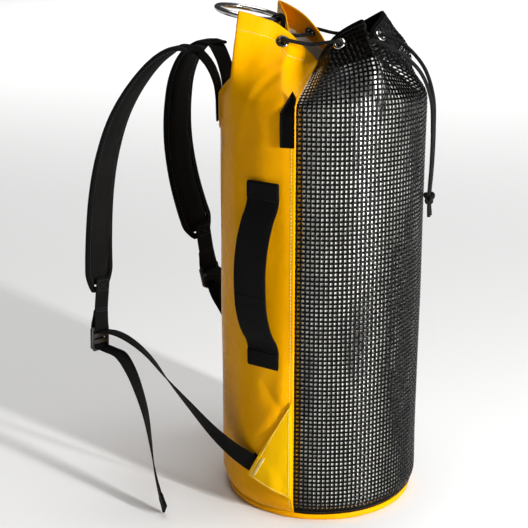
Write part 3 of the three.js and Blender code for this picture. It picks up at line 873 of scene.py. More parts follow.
def make_mesh_edges():
    """The opaque collar band behind the weave, and the bindings on its top and at its foot."""
    holes = [(centre, EYELET_HOLE) for centre, _ in FRONT_EYELETS.values()]
    cols = np.linspace(0.4, 179.6, 240)
    band_rows = FRONT.row_at(np.linspace(FRONT.rise[-1] - 0.052, FRONT.rise[-1] - 0.0004, 34))
    band = FRONT.sheet("collar_backing", band_rows, cols, 0.0010, 0.0026, holes)
    dressed(band, BLACK_PVC, "bag", "black_pvc", ["mesh_collar_band"])
    top = FRONT.rise[-1]
    top_rows = FRONT.row_at(np.linspace(top - 0.0060, top, 7))
    binding = FRONT.sheet("collar_binding", top_rows, cols, 0.0000, 0.0032)
    dressed(binding, BLACK_PVC, "bag", "black_pvc")
    foot_rows = FRONT.row_at(np.linspace(0.0002, 0.0085, 6))
    foot = FRONT.sheet("mesh_foot_binding", foot_rows, cols, -0.0003, 0.0019)
    dressed(foot, BLACK_PVC, "bag", "black_pvc")
    lines = []
    for rise, lift in ((top - 0.0042, 0.0001), (0.0062, 0.0004)):
        points, normals = FRONT.take(np.linspace(1, 179, 400), np.full(400, FRONT.row_at(rise)))
        lines.append(stitch_row(points + normals * lift, normals))
    stitches = make_mesh("mesh_binding_stitches", *joined(lines))
    dressed(stitches, BLACK_THREAD, "bag", "black_pvc")


def make_liner():
    """The white lining, a loose sleeve a few millimetres inside the wall, gathered at its top."""
    halves = [Wall(first, shrink=0.0020, soft=0.006, lowered=0.030) for first in (90, 270)]
    rows = np.arange(2, len(halves[0].heights), 3)
    cols = np.arange(0, 180, 2)
    grid = np.concatenate([half.points[np.ix_(rows, cols)] for half in halves], axis=1)
    grid = np.concatenate([grid, grid[:, :1]], axis=1)
    inward = -unit(grid * (1, 1, 0))
    loose = noise(grid, 0.06, 21, (1, 1, 0.35)) * 0.0012 + noise(grid, 0.02, 22, (1, 1, 0.3)) * 0.0006
    frill = np.clip((grid[..., 2] - 0.60) / 0.04, 0, 1) * noise(grid, 0.022, 23, (1, 1, 0.2)) * 0.003
    back = grid + inward * (0.0008 + np.abs(loose) * 0.6 + frill)[..., None]
    front = back - inward * 0.0007
    rows_n, cols_n = front.shape[:2]
    size = rows_n * cols_n
    verts = np.vstack([front.reshape(-1, 3), back.reshape(-1, 3)])
    faces = grid_faces(rows_n, cols_n)
    faces += [[a + size for a in face[::-1]] for face in grid_faces(rows_n, cols_n)]
    for j in (0, rows_n - 1):
        for i in range(cols_n - 1):
            a, b = j * cols_n + i, j * cols_n + i + 1
            faces.append([b, a, a + size, b + size] if j == 0 else [a, b, b + size, a + size])
    liner = make_mesh("lining_sleeve", verts, faces)
    merged = bmesh.new()
    merged.from_mesh(liner.data)
    bmesh.ops.remove_doubles(merged, verts=merged.verts, dist=1e-6)
    merged.to_mesh(liner.data)
    merged.free()
    dressed(liner, LINING, "bag", "white_lining", ["inner_liner"])


def make_eyelets():
    ring = mm([[4.6, -2.0], [4.6, 0.9], [4.8, 1.7], [5.4, 2.2], [6.2, 2.35], [7.2, 2.1], [8.1, 1.5],
               [8.5, 0.95], [8.3, 0.7], [5.35, 0.7], [5.2, 0.5], [5.2, -2.0]])
    washer = mm([[5.3, -1.4], [5.3, -2.3], [6.2, -2.7], [7.4, -2.4], [8.4, -1.7], [8.4, -1.4]])
    for places, material, slot in ((BACK_EYELETS, GUNMETAL, "dark_steel"),
                                   (FRONT_EYELETS, CHROME, "bright_steel")):
        for name, (centre, normal) in places.items():
            number = name.split("_")[1]
            depth = -0.0022 if slot == "bright_steel" else -0.0006
            for kind, profile, node in (("ring", ring, name), ("washer", washer, f"eyelet_washer_{number}")):
                verts, faces, uvs = lathe(profile, 48)
                shift = normal * (0.0008 if kind == "ring" else depth)
                verts = verts @ facing(normal).T + centre + shift
                piece = make_mesh(f"grommet_{kind}_{number}", verts, faces, uvs)
                dressed(piece, material, "bag", slot, [node])


make_back_panel()
make_seam_allowances()
make_base()
make_mesh_lattice()
make_mesh_edges()
make_liner()
make_eyelets()


# ---- Drawcord ----

CORD_RADIUS = 0.0025
KNOT = mm(148, 5, 435)


def braided(path, radius=CORD_RADIUS):
    """A round cord whose surface carries the diamonds of a braid."""
    side = carried(path, np.array([0.1, 0.2, 1.0]))
    out = np.cross(tangents(path), side)
    a = np.arange(16) * math.pi / 8
    along = arc(path)[:, None] * 2 * math.pi / 0.0055
    bumps = np.cos(4 * a + along) * np.cos(4 * a - along)
    r = radius * (1 + 0.05 * bumps)
    section = np.stack([r * np.cos(a), r * np.sin(a)], axis=-1)
    return swept(path, side, out, section)


def drawcord_loop():
    order = [f"eyelet_{n}" for n in (2, 3, 4, 5, 6, 7, 8, 1)]
    route = []
    for turn, name in enumerate(order):
        centre, normal = {**BACK_EYELETS, **FRONT_EYELETS}[name]
        out = 1 if turn % 2 == 0 else -1
        route += [centre + normal * 0.0052 * out, centre - normal * 0.0052 * out]
        if turn % 2:
            nxt = {**BACK_EYELETS, **FRONT_EYELETS}[order[(turn + 1) % 8]][0]
            if turn < 7:
                middle = (centre + nxt) / 2
                route.append(middle + unit(middle * (1, 1, 0)) * 0.002 - mm(0, 0, 1.5))
    return route


LOOP_ROUTE = drawcord_loop()


def make_drawcord():
    path = smooth_route(LOOP_ROUTE, 0.0008)
    loop = make_mesh("drawcord_loop", *braided(path))
    dressed(loop, CORD, "bag", "black_cord", ["drawcord"])
    knot = make_knot()
    for side, sign, start in (("left", -1, LOOP_ROUTE[-1]), ("right", 1, LOOP_ROUTE[0])):
        rest = [[92, sign * 34, 641], [112, sign * 26 + 2, 629], [134, sign * 16 + 4, 605],
                [147, sign * 9 + 5, 570], [150, sign * 6 + 5, 530], [150, sign * 4.5 + 5, 485],
                [148.5, sign * 3.0 + 5, 450], [148, sign * 2.6 + 5, 440]]
        path = smooth_route(np.vstack([[start], mm(rest)]), 0.0008)
        tail = make_mesh(f"drawcord_end_{side}", *braided(path))
        tail.data.materials.append(CORD)
        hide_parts(f"drawcord_tail_{side}")
        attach(tail, "drawcord_ends")
        tuple(start)
        round(float(arc(path)[-1]), 3)


def make_knot():
    """Both ends of the cord in one overhand knot, with their two short tips below it."""
    t = np.linspace(0, 2 * math.pi, 130)
    trefoil = np.stack([np.sin(t) + 2 * np.sin(2 * t), -1.3 * np.sin(3 * t), np.cos(t) - 2 * np.cos(2 * t)],
                       axis=1)
    parts = []
    for turn, size in ((0.0, 0.00212), (0.55, 0.00190)):
        c, s = math.cos(turn), math.sin(turn)
        bend = trefoil * (1, 1, 1.12) @ np.array([[c, -s, 0], [s, c, 0], [0, 0, 1]])
        parts.append(braided(resampled(bend * size + KNOT + mm(0, 0, 1 - 3 * turn), 0.0008)))
    for sign in (-1, 1):
        tip = mm([[148, 5 + sign * 1.5, 432], [148.5, 5 + sign * 3.2, 425], [149, 5 + sign * 5.0, 417],
                  [149.5, 5 + sign * 5.6, 410]])
        parts.append(braided(smooth_route(tip, 0.0008), 0.0024))
    knot = make_mesh("drawcord_overhand_knot", *joined(parts))
    return dressed(knot, CORD, "drawcord_ends", "black_cord", ["drawcord_knot"])


make_drawcord()


# ---- Webbing ----

def ribbon(name, route, first, last, width, thick, material=None, body=None, replaces=(), hem=0.0,
           ends=(1, 1)):
    """Webbing along a route in millimetres, its width turning from one direction to another."""
    path = smooth_route(mm(route), 0.0025)
    across = turning(path, first, last)
    out = unit(np.cross(tangents(path), across))
    section = flat_section(width, thick)
    left = arc(path)[-1] - arc(path)
    grow = 1 + 0.9 * np.clip((hem - left) / 0.0012, 0, 1)[:, None] if hem else np.ones((len(path), 1))
    sections = np.stack([np.broadcast_to(section[:, 0], (len(path), len(section))), section[:, 1] * grow],
                        axis=-1)
    narrow = np.ones(len(path))
    narrow[0], narrow[-1] = 1 - 0.03 * ends[0], 1 - 0.03 * ends[1]
    obj = make_mesh(name, *swept(path, across, out, sections * narrow[:, None, None]))
    if material:
        obj.data.materials.append(material)
    if body:
        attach(obj, body)
    if replaces:
        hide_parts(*replaces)
    return obj, (path, across, out)


def sewn_box(line, starts, ends, half, lift, diagonals=True):
    """Stitch paths of a sewn box with a cross, between two distances along a strap."""
    path, across, out = line
    along = arc(path)

    def spot(distance, side):
        at = lambda grid: np.array([np.interp(distance, along, grid[:, k]) for k in range(3)])
        return at(path) + at(across) * side + at(out) * lift, at(out)

    corners = [(starts, -half), (starts, half), (ends, half), (ends, -half), (starts, -half)]
    runs = [(corners[k], corners[k + 1]) for k in range(4)]
    if diagonals:
        runs += [(corners[0], corners[2]), (corners[1], corners[3])]
    parts = []
    for a, b in runs:
        t = np.linspace(0, 1, 12)
        spots = [spot(a[0] + (b[0] - a[0]) * k, a[1] + (b[1] - a[1]) * k) for k in t]
        points, normals = (np.array([s[k] for s in spots]) for k in (0, 1))
        parts.append(stitch_row(points, normals, pitch=0.0032, length=0.0024, radius=0.00038))
    return parts


def sewn(name, parts, body, material=None, slot="black_webbing"):
    obj = make_mesh(name, *joined(parts))
    return dressed(obj, material or BLACK_THREAD, body, slot)


# ---- Haul ring ----

RING_PIVOT = mm(-64, 0, 667)
RING_RADIUS = 0.043
RING_WIRE = 0.004


def make_haul_ring():
    turn = np.linspace(0, 2 * math.pi, 145)[:-1]
    tilt = math.radians(11)
    flat = np.stack([RING_RADIUS * np.cos(turn) - RING_RADIUS, RING_RADIUS * np.sin(turn), 0 * turn], axis=1)
    tipped = np.stack([flat[:, 0] * math.cos(tilt), flat[:, 1], -flat[:, 0] * math.sin(tilt)], axis=1)
    path = tipped + RING_PIVOT
    centre = path.mean(axis=0)
    out = unit(path - centre)
    up = np.tile([math.sin(tilt), 0, math.cos(tilt)], (len(path), 1))
    weld = np.exp(-((turn - 2.4) / 0.035) ** 2)
    a = np.arange(24) * math.pi / 12
    r = RING_WIRE * (1 + 0.05 * weld)[:, None]
    verts = path[:, None] + out[:, None] * (r * np.cos(a))[..., None] + up[:, None] * (r * np.sin(a))[...,
                                                                                                      None]
    ring = make_mesh("haul_ring_forged", verts, grid_faces(len(path), 24, wrap_rows=True, wrap_cols=True))
    dressed(ring, CHROME, "haul_ring", "bright_steel", ["haul_ring"])
    wrap = [[-64 + 7.2 * math.cos(math.radians(d)), 0, 667 + 7.2 * math.sin(math.radians(d))]
            for d in (-20, 20, 60, 100, 140, 180, 215, 243)]
    route = [[-136, 0, 579], [-121, 0, 590], [-105, 0, 601], [-88, 0, 614], [-72, 0, 632], [-60, 0, 650],
             *wrap, [-76, 0, 644], [-84, 0, 630]]
    _, line = ribbon("haul_ring_loop", route, (0, 1, 0), (0, 1, 0), 0.022, 0.0016, WEBBING, "bag",
                     ["haul_ring_webbing"])
    sewn("haul_ring_loop_stitches", sewn_box(line, 0.040, 0.062, 0.008, -0.0010), "bag")


# ---- Side handle ----

HANDLE_ANGLE = math.radians(252.5)
HANDLE_OUT = np.array([math.cos(HANDLE_ANGLE), math.sin(HANDLE_ANGLE), 0])
HANDLE_ACROSS = np.cross((0, 0, 1), HANDLE_OUT)


def handle_route(offsets):
    return [[HANDLE_OUT[0] * (140 + out), HANDLE_OUT[1] * (140 + out), z] for out, z in offsets]


def make_handle():
    upper = [[3.4, 475], [3.2, 462], [3.4, 450], [8, 438], [16, 426], [27, 400], [33, 370], [34, 345],
             [33, 325]]
    lower = [[3.4, 221], [3.2, 234], [3.4, 247], [8, 259], [16, 270], [24, 286], [31, 310], [33, 326],
             [33.4, 330]]
    for name, offsets, node, bolt in (("upper", upper, "handle_end_upper", (0.446, 0.420)),
                                      ("lower", lower, "handle_end_lower", (0.250, 0.276))):
        replaced = [node, "side_handle"] if name == "upper" else [node]
        half, line = ribbon(f"handle_{name}_half", handle_route(offsets), HANDLE_ACROSS, HANDLE_ACROSS,
                            0.050, 0.0026, WEBBING, None, replaced, ends=(1, 0))
        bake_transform(half)
        sign = 1 if np.dot(line[2][3], HANDLE_OUT) > 0 else -1
        sewn(f"handle_{name}_stitches", sewn_box(line, 0.003, 0.024, 0.0212, sign * 0.0014), "bag")
        patch = handle_route([[5.1, 473.5], [5.0, 462], [5.2, 452]] if name == "upper" else
                             [[5.1, 222.5], [5.0, 234], [5.2, 244]])
        ribbon(f"handle_{name}_hem", patch, HANDLE_ACROSS, HANDLE_ACROSS, 0.049, 0.0014, WEBBING, "bag")


# ---- Label and yoke ----

def make_label():
    """A small blank flag sewn into the side seam."""
    rows = []
    for z in np.linspace(522, 592, 48):
        left = -19 if z <= 566 else -19 + 13 * (z - 566) / 26
        right = -0.5 if z <= 584 else -0.5 - 5.5 * (z - 584) / 8
        rows.append([[left + (right - left) * u, z] for u in np.linspace(0, 1, 14)])
    flat = np.array(rows) * 0.001
    x, z = flat[..., 0], flat[..., 1]
    wave = 0.0009 * np.sin((z - 0.522) * 60) * np.clip(-x / 0.019, 0, 1) + 0.0011 * np.clip(-x / 0.019, 0,
                                                                                            1) ** 2
    lean = 0.4 * np.maximum(0, z - 0.566) ** 1.0
    y = -np.sqrt(BODY_RADIUS ** 2 - x ** 2) - 0.0019 - wave + lean
    front = np.stack([x, y, z], axis=-1)
    label = closed_sheet("side_flag", front, front + mm(0, 0.7, 0))
    dressed(label, BLACK_PVC, "side_label", "black_pvc", ["side_label"])
    edge = [(-17.3, 524), (-17.3, 565.5), (-6.2, 588)]
    parts = []
    for a, b in zip(edge, edge[1:]):
        t = np.linspace(0, 1, 20)[:, None]
        line = (np.array(a) * (1 - t) + np.array(b) * t) * 0.001
        share = np.clip(-line[:, 0] / 0.019, 0, 1)
        y = -np.sqrt(BODY_RADIUS ** 2 - line[:, 0] ** 2) - 0.0019
        y = y - 0.0009 * np.sin((line[:, 1] - 0.522) * 60) * share - 0.0011 * share ** 2 - 0.0001
        y = y + 0.4 * np.maximum(0, line[:, 1] - 0.566)
        points = np.stack([line[:, 0], y, line[:, 1]], axis=1)
        parts.append(stitch_row(points, np.tile([0.0, -1.0, 0.0], (20, 1)), 0.0028, 0.0019, 0.0003))
    sewn("side_flag_stitches", parts, "side_label", BLACK_THREAD, "black_pvc")


def make_yoke():
    cols = np.linspace(71, 109, 60)
    rows = np.linspace(BACK.row_of_height(0.525, 90), BACK.row_of_height(0.573, 90), 24)
    yoke = BACK.sheet("yoke_patch", rows, cols, -0.0017, -0.0002)
    dressed(yoke, YELLOW, "bag", "yellow_pvc", ["strap_yoke_patch"])
    corners = (72, 108, 108, 72, 72), (0.5275, 0.5275, 0.5705, 0.5705, 0.5275)
    points, normals = on_wall(BACK, *corners, 0.0018)
    sewn("yoke_patch_stitches", [stitch_row(points, normals)], "bag", PALE_THREAD, "yellow_pvc")


make_haul_ring()
make_handle()
make_label()
make_yoke()


# ---- Shoulder straps ----

STRAPS = {
    "left": {
        "sewn": [[-141.8, -22, 532], [-141.8, -22, 548], [-142, -22, 564], [-143.7, -22.9, 582],
                 [-148, -25.6, 597]],
        "top": [[-150.8, -27.5, 604], [-156.5, -31, 614], [-167, -38.5, 626], [-180, -46, 631],
                [-198, -53.5, 629]],
        "pad": [[-169, -41, 628], [-190, -50, 630], [-214, -58, 616], [-244, -64, 582], [-270, -68, 538],
                [-288, -72, 485], [-298, -76, 430], [-303, -80, 360], [-303, -85, 292]],
        "buckle": [-300, -96, 222],
        "lower": [[-281, -97, 232], [-263, -100, 229], [-241, -103, 219], [-219, -106, 203],
                  [-193, -110, 176],
                  [-159, -115, 144], [-119, -121, 108], [-89, -126, 88], [-70, -129.5, 79], [-58, -129.6,
                                                                                             73]],
        "tail": [[-281, -103, 207], [-263, -108, 203], [-246, -114, 184], [-231, -121, 156],
                 [-218, -130, 126], [-207, -142, 92], [-196, -155, 54], [-184, -168, 28], [-172, -180, 11]],
        "pad_turn": ((0, 1, 0), (0.25, 1, 0)),
        "tail_end": (-0.6, 0.75, 0),
    },
    "right": {
        "sewn": [[-141.8, 22, 532], [-141.8, 22, 548], [-142, 22, 564], [-143.7, 22.9, 582],
                 [-148, 25.6, 597]],
        "top": [[-150.8, 27.5, 604], [-156.5, 31, 614], [-167, 38.5, 626], [-179, 45, 630],
                [-196, 52.5, 624]],
        "pad": [[-169, 41, 628], [-188, 49, 628], [-210, 57, 612], [-228, 64, 580], [-238, 70, 535],
                [-241, 75, 485], [-236, 80, 430], [-226, 86, 380], [-213, 92, 335]],
        "buckle": [-201, 98, 268],
        "lower": [[-189.9, 91, 274], [-177, 97, 263], [-166, 106, 240], [-157, 112, 213], [-148, 116, 180],
                  [-138, 118, 140], [-118, 122, 108], [-92, 127, 88], [-70, 129.5, 79], [-58, 129.6, 73]],
        "tail": [[-190, 99, 241], [-181, 110, 215], [-171, 126, 178], [-163, 138, 130], [-157, 147, 80],
                 [-152, 156, 30]],
        "pad_turn": ((0.2, 1, 0), (0.55, 1, 0)),
        "tail_end": (0.2, 1, 0),
    },
}
PAD_WIDTH = 0.060
PAD_THICK = 0.012


def pad_half_width(t):
    """Half the pad's width along its length, narrowed at both ends."""
    top = 0.007 * np.clip(1 - t / 0.12, 0, 1)
    foot = 0.012 * np.clip((t - 0.93) / 0.07, 0, 1) ** 1.6
    return PAD_WIDTH / 2 - top - foot


def inflated(obj, cap):
    """Swells a closed mesh with cloth pressure, each point moving no further than cap."""
    remesh = obj.modifiers.new("remesh", "REMESH")
    remesh.mode = "VOXEL"
    remesh.voxel_size = 0.0045
    apply_modifiers(obj)
    rest = coordinates(obj)
    cloth_mod = obj.modifiers.new("cloth", "CLOTH")
    cloth_mod.settings.use_pressure = True
    cloth_mod.settings.uniform_pressure_force = 4.0
    cloth_mod.settings.effector_weights.gravity = 0.0
    cloth_mod.settings.quality = 4
    cloth_mod.point_cache.frame_end = 20
    scene = bpy.context.scene
    for step in range(1, 21):
        scene.frame_set(step)
    apply_modifiers(obj)
    scene.frame_set(1)
    moved = coordinates(obj) - rest
    length = np.linalg.norm(moved, axis=1, keepdims=True)
    moved *= np.minimum(1, cap / np.maximum(length, 1e-9))
    obj.data.vertices.foreach_set("co", (rest + moved).ravel())
    smoothing = obj.modifiers.new("smooth", "SMOOTH")
    smoothing.iterations = 4
    finer = obj.modifiers.new("finer", "SUBSURF")
    finer.levels = 1
    apply_modifiers(obj)
    obj.data.polygons.foreach_set("use_smooth", [True] * len(obj.data.polygons))


def coordinates(obj):
    found = np.empty(len(obj.data.vertices) * 3)
    obj.data.vertices.foreach_get("co", found)
    return found.reshape(-1, 3)


def apply_modifiers(obj):
    graph = bpy.context.evaluated_depsgraph_get()
    mesh = bpy.data.meshes.new_from_object(obj.evaluated_get(graph))
    obj.modifiers.clear()
    old = obj.data
    obj.data = mesh
    bpy.data.meshes.remove(old)


def pad_frame(name):
    path = smooth_route(mm(STRAPS[name]["pad"]), 0.003)
    across = turning(path, *STRAPS[name]["pad_turn"])
    return path, across, unit(np.cross(tangents(path), across))


def make_pad(name):
    path, across, out = pad_frame(name)
    t = arc(path) / arc(path)[-1]
    half = pad_half_width(t)
    a = np.linspace(0, 2 * math.pi, 29)[:-1]
    flat = np.sign(np.cos(a)) * np.abs(np.cos(a)) ** 0.55
    tall = np.sign(np.sin(a)) * np.abs(np.sin(a)) ** 0.8
    thick = (PAD_THICK - 0.0035) / 2 * (1 - 0.55 * np.abs(2 * t - 1) ** 8)
    section = np.stack([np.outer(half - 0.0030, flat), np.outer(thick, tall)], axis=-1)
    verts, faces, uvs = swept(path[1:-1], across[1:-1], out[1:-1], section[1:-1])
    core = make_mesh(f"pad_{name}", verts, faces, uvs)
    inflated(core, 0.0018)
    dressed(core, PAD_FACE, f"{name}_strap", "black_padding", [f"strap_pad_{name}"])
    make_pad_binding(name, path, across, out, half)


def make_pad_binding(name, path, across, out, half):
    """Folded tape around the pad's edge, with its stitch line."""
    inset = 0.0042
    ends = []
    for k, away in ((0, -1), (-1, 1)):
        along = tangents(path)[k] * away
        turn = np.linspace(-1, 1, 9)[1:-1]
        corner = 0.0035 * (1 - np.abs(turn) ** 4)
        points = path[k] + across[k] * (turn * (half[k] - inset)
                                        * -away)[:, None] + along * (corner - 0.002)[:, None]
        ends.append((points, np.tile(out[k], (len(points), 1))))
    right = (path + across * (half - inset)[:, None], out)
    left = ((path - across * (half - inset)[:, None])[::-1], out[::-1])
    loop = np.vstack([right[0], ends[1][0], left[0], ends[0][0]])
    up = np.vstack([right[1], ends[1][1], left[1], ends[0][1]])
    ahead = unit(np.roll(loop, -1, axis=0) - np.roll(loop, 1, axis=0))
    side = unit(np.cross(ahead, up))
    normal = unit(np.cross(side, ahead))
    section = flat_section(0.0088, 0.0046, 6, 4)
    verts = loop[:, None] + side[:, None] * section[None, :, :1] + normal[:, None] * section[None, :, 1:]
    faces = grid_faces(len(loop), len(section), wrap_rows=True, wrap_cols=True)
    round_ = np.concatenate([[0], np.cumsum(np.linalg.norm(np.diff(section, axis=0), axis=1))])
    uvs = np.stack(np.broadcast_arrays(round_[None, :], arc(loop)[:, None]), axis=-1)
    tape = make_mesh(f"pad_binding_{name}", verts, faces, uvs)
    dressed(tape, BINDING, f"{name}_strap", "black_padding")
    parts = []
    for face in (1, -1):
        for edge in (1, -1):
            points = path + across * (edge * (half - inset - 0.0026))[:, None] + out * face * 0.0024
            parts.append(stitch_row(points[2:-2], out[2:-2] * face, pitch=0.005, length=0.0036))
    sewn(f"pad_stitches_{name}", parts, f"{name}_strap", slot="black_padding")


def lock_axes(name):
    """The lock's centre, its bar, the way up the strap and its face towards the bag."""
    pad_end, centre = mm(STRAPS[name]["pad"][-1]), mm(STRAPS[name]["buckle"])
    rise = unit(pad_end - centre)
    _, across, _ = pad_frame(name)
    bar = unit(across[-1] - rise * np.dot(across[-1], rise))
    return centre, bar, rise, np.cross(bar, rise)


def make_lock(name):
    """A ladder lock: a moulded frame with four rounded bars and a lifting lip."""
    centre, bar, rise, face = lock_axes(name)
    curve = bpy.data.curves.new("lock_outline", "CURVE")
    curve.dimensions = "2D"
    curve.fill_mode = "BOTH"
    curve.extrude = 0.0011
    curve.bevel_depth = 0.0009
    curve.bevel_resolution = 3
    outline = [(-18.1, -12.5), (-15.5, -15.1), (15.5, -15.1), (18.1, -12.5), (18.1, 13.5), (16.6, 15.1),
               (-16.6, 15.1), (-18.1, 13.5)]
    loops = [outline] + [[(-x, lo), (-x + 0.5, hi), (x - 0.5, hi), (x, lo)]
                         for lo, hi, x in ((-11.2, -7.9, 14.9), (-3.2, 0.7, 14.9), (5.3, 11.2, 14.9))]
    for points in loops:
        spline = curve.splines.new("POLY")
        spline.points.add(len(points) - 1)
        for point, (x, y) in zip(spline.points, points):
            point.co = (x * 0.001, y * 0.001, 0, 1)
        spline.use_cyclic_u = True
    flat = bpy.data.objects.new("lock_outline", curve)
    bpy.context.scene.collection.objects.link(flat)
    mesh = bpy.data.meshes.new_from_object(flat.evaluated_get(bpy.context.evaluated_depsgraph_get()))
    bpy.data.objects.remove(flat)
    axes = np.stack([bar, rise, face])
    frame_verts = np.array([v.co for v in mesh.vertices])
    frame_verts[:, 2] += 0.0011 * np.cos(np.clip(frame_verts[:, 1] / 0.016, -1, 1) * math.pi / 2) * -1
    parts = [(frame_verts @ axes + centre, [list(p.vertices) for p in mesh.polygons],
              np.zeros((len(frame_verts), 2)))]
    for height, depth, wire in ((-5.6, -0.8, 2.0), (3.0, -0.9, 1.9), (13.2, 0.0, 2.0)):
        ends = centre + rise * height * 0.001 + face * depth * 0.001
        line = ends + bar * np.linspace(-0.0155, 0.0155, 9)[:, None]
        parts.append(swept(line, np.tile(rise, (9, 1)), np.tile(face, (9, 1)),
                           oval(2 * wire, 1.9 * wire, 12) * 0.001))
    lip = smooth_route(mm([[0, -13.8, 0], [0, -16.2, -0.8], [0, -18.6, -2.6]]) @ axes + centre, 0.0006)
    parts.append(swept(lip, np.tile(bar, (len(lip), 1)),
                       unit(np.cross(tangents(lip), np.tile(bar, (len(lip), 1)))),
                       flat_section(0.024, 0.0024, 6, 4)))
    lock = make_mesh(f"lock_frame_{name}", *joined(parts))
    dressed(lock, PLASTIC, f"{name}_lock", "black_plastic", [f"ladder_lock_{name}"])
    make_lock_webbing(name, centre, bar, rise, face)


def make_lock_webbing(name, centre, bar, rise, face):
    pad_end = mm(STRAPS[name]["pad"][-1])
    reach = np.linalg.norm(pad_end - centre)

    def at(up, out):
        return (centre + rise * up * 0.001 + face * out * 0.001) * 1000

    far = reach * 1000
    loop = [at(far + 16, 7.2), at(far + 4, 6.2), at(far - 10, 4.8), at(far - 30, 3.2), at(20, 3.6),
            at(14.5, 4.0),
            at(10.2, 3.0), at(8.9, 0), at(10.2, -3.0), at(14.5, -3.8), at(20, -3.4), at(32, -0.2), at(41,
                                                                                                      1.4)]
    _, line = ribbon(f"lock_loop_{name}", loop, bar, bar, 0.029, 0.0017, WEBBING, f"{name}_strap",
                     [f"lock_webbing_{name}"])
    stack = sewn_box(line, 0.004, 0.019, 0.0115, 0.0011) + sewn_box(line, 0.004, 0.019, 0.0115, -0.0011)
    stack += sewn_box(line, far * 0.001 - 0.026, far * 0.001 - 0.022, 0.012, 0.0012, False)
    sewn(f"lock_loop_stitches_{name}", stack, f"{name}_strap")
    wrap = [at(9.3, 4.6), at(8.8, 1.2), at(7.6, -2.6), at(3.0, -4.2), at(-1.4, -4.3), at(-6.0, -4.1),
            at(-9.4, -2.4), at(-10.2, 0.6), at(-11.4, 3.6), at(-15.5, 5.4)]
    ribbon(f"lock_thread_{name}", wrap, bar, bar, 0.0285, 0.0016, WEBBING, f"{name}_lock")


def split_route(route, where):
    """A smooth route in millimetres cut in two at a share of its length."""
    path = smooth_route(mm(route), 0.004) * 1000
    cut = int(len(path) * where)
    return path[:cut + 1], path[cut:], cut / (len(path) - 1)


def halfway(first, last, share):
    return unit(unit(first) * (1 - share) + unit(last) * share)


def make_strap(name, sign):
    part = STRAPS[name]
    centre, bar, rise, face = lock_axes(name)
    wall_across = (sign * 0.153, 0.988, 0)
    body = f"{name}_strap"
    top, line = ribbon(f"strap_top_{name}", part["sewn"] + part["top"], wall_across, part["pad_turn"][0],
                       0.038, 0.0019, WEBBING,
                       None, [f"strap_anchor_{name}", f"strap_top_webbing_{name}"])
    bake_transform(top)
    out = 1 if line[2][4][0] < 0 else -1
    sewn(f"strap_anchor_stitches_{name}", sewn_box(line, 0.004, 0.026, 0.016, out * 0.0011), "bag")
    ending = arc(line[0])[-1]
    sewn(f"strap_top_stitches_{name}", sewn_box(line, ending - 0.024, ending - 0.004, 0.015, out * 0.0011),
         body)
    edge = np.array([-0.46, sign * -0.168, -0.872])
    start = (centre + rise * 0.0093 + face * 0.0046) * 1000
    near, far, share = split_route([start] + part["lower"], 0.55)
    turn = halfway(bar, edge, share)
    top_half, _ = ribbon(f"lower_strap_near_{name}", near, bar, turn, 0.030, 0.0018, WEBBING, None,
                         [f"lower_webbing_{name}"], ends=(1, 0))
    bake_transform(top_half)
    foot, _ = ribbon(f"lower_strap_far_{name}", far, turn, edge, 0.030, 0.0018, WEBBING, None, ends=(0, 1))
    anchor = mm(part["lower"][-1])
    away = unit(far[0] - far[-1])
    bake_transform(foot)
    begin = (centre - rise * 0.0135 + face * 0.0050) * 1000
    tail, line = ribbon(f"strap_end_{name}", [begin] + part["tail"], bar, part["tail_end"], 0.030, 0.0018,
                        WEBBING,
                        None, [f"strap_tail_{name}"], hem=0.022)
    tuple(begin * 0.001 + tangents(line[0])[4] * 0.02)
    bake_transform(tail)
    ending = arc(line[0])[-1]
    hem = sewn_box(line, ending - 0.019, ending - 0.005, 0.012, 0.0019, False)
    hem += sewn_box(line, ending - 0.019, ending - 0.005, 0.012, -0.0019, False)
    sewn(f"strap_end_stitches_{name}", hem, f"{name}_tail")


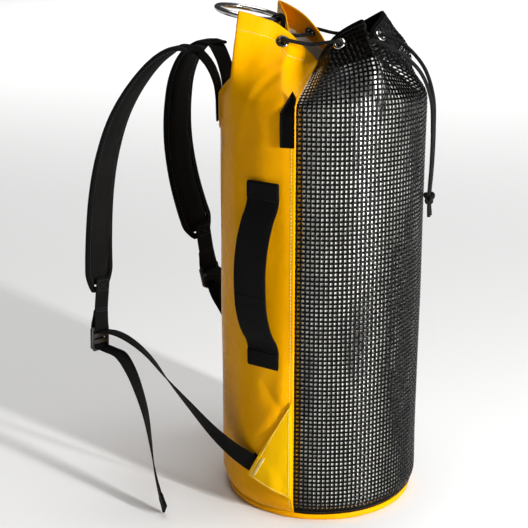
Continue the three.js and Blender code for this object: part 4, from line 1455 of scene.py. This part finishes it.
def make_tab(name, sign):
    """The yellow triangle from the side seam, over the sewn end of the lower webbing."""

    def place(degrees, z, lift):
        angle = math.radians(180 - sign * 90 + sign * degrees)
        r = BODY_RADIUS + lift
        return np.array([r * math.cos(angle), r * math.sin(angle), z])

    corners = np.array([[0.6, 33.5], [27.4, 56.0], [19.6, 93.5], [0.6, 176.0]])
    u, v = np.meshgrid(np.linspace(0, 1, 40), np.linspace(0, 1, 60))
    flat = (corners[0] * ((1 - u) * (1 - v))[..., None] + corners[1] * (u * (1 - v))[..., None]
            + corners[2] * (u * v)[..., None] + corners[3] * ((1 - u) * v)[..., None])

    def lifted(degrees, z, extra):
        over = np.clip((degrees - 5) / 9, 0, 1)
        band = np.exp(-(((z - 66 - (degrees - 20) * 1.7) / 26) ** 4))
        sag = 0.5 * math.sin(degrees * 0.55 + z * 0.045)
        corner = 2.6 * np.clip((degrees - 18) / 9, 0, 1) ** 1.5
        return (1.0 + 2.5 * over * over * (3 - 2 * over) * (0.35 + 0.65 * band) + corner + 0.35 * sag
                + extra) * 0.001

    front = np.array([[place(d, z * 0.001, lifted(d, z, 2.0)) for d, z in row] for row in flat])
    back = np.array([[place(d, z * 0.001, lifted(d, z, 0.6)) for d, z in row] for row in flat])
    if sign > 0:
        front, back = front[:, ::-1], back[:, ::-1]
    tab = closed_sheet(f"tab_{name}", front, back)
    # The tab gets the lighter yellow: painted light for its face turned to the lamps.
    dressed(tab, PAINTED_LIGHT_TAB_YELLOW, "bag", "yellow_pvc", [f"side_tab_{name}"])
    inset = np.array([[2.0, 37.5], [25.6, 57.5], [18.7, 90.0], [2.0, 168.0]])
    parts = []
    for k in range(4):
        t = np.linspace(0, 1, 40)[:, None]
        line = inset[k] * (1 - t) + inset[(k + 1) % 4] * t
        points = np.array([place(d, z * 0.001, lifted(d, z, 2.15)) for d, z in line])
        parts.append(stitch_row(points, unit(points * (1, 1, 0)), pitch=0.0042))
    for shift in (0.0, 0.5, 1.0):
        t = np.linspace(0.06, 0.94, 30)[:, None]
        line = (inset[1] * (1 - t) + inset[2] * t) - (2.0 + shift, 0)
        points = np.array([place(d, z * 0.001, lifted(d, z, 2.25)) for d, z in line])
        parts.append(stitch_row(points, unit(points * (1, 1, 0)), pitch=0.0016, length=0.0026, radius=0.0006))
    sewn(f"tab_stitches_{name}", parts, "bag", PALE_THREAD, "yellow_pvc")
    route = [place(d, z * 0.001, 0.0016) * 1000 for d, z in ((13, 55), (17, 61), (20, 66.5), (24, 73),
                                                             (27.2, 78))]
    edge = (-0.46, sign * -0.168, -0.872)
    ribbon(f"tab_webbing_end_{name}", route, edge, edge, 0.030, 0.0016, WEBBING, "bag",
           [f"tab_webbing_{name}"])


for strap_name, strap_sign in SIDES:
    make_pad(strap_name)
    make_lock(strap_name)
    make_strap(strap_name, strap_sign)
    make_tab(strap_name, strap_sign)
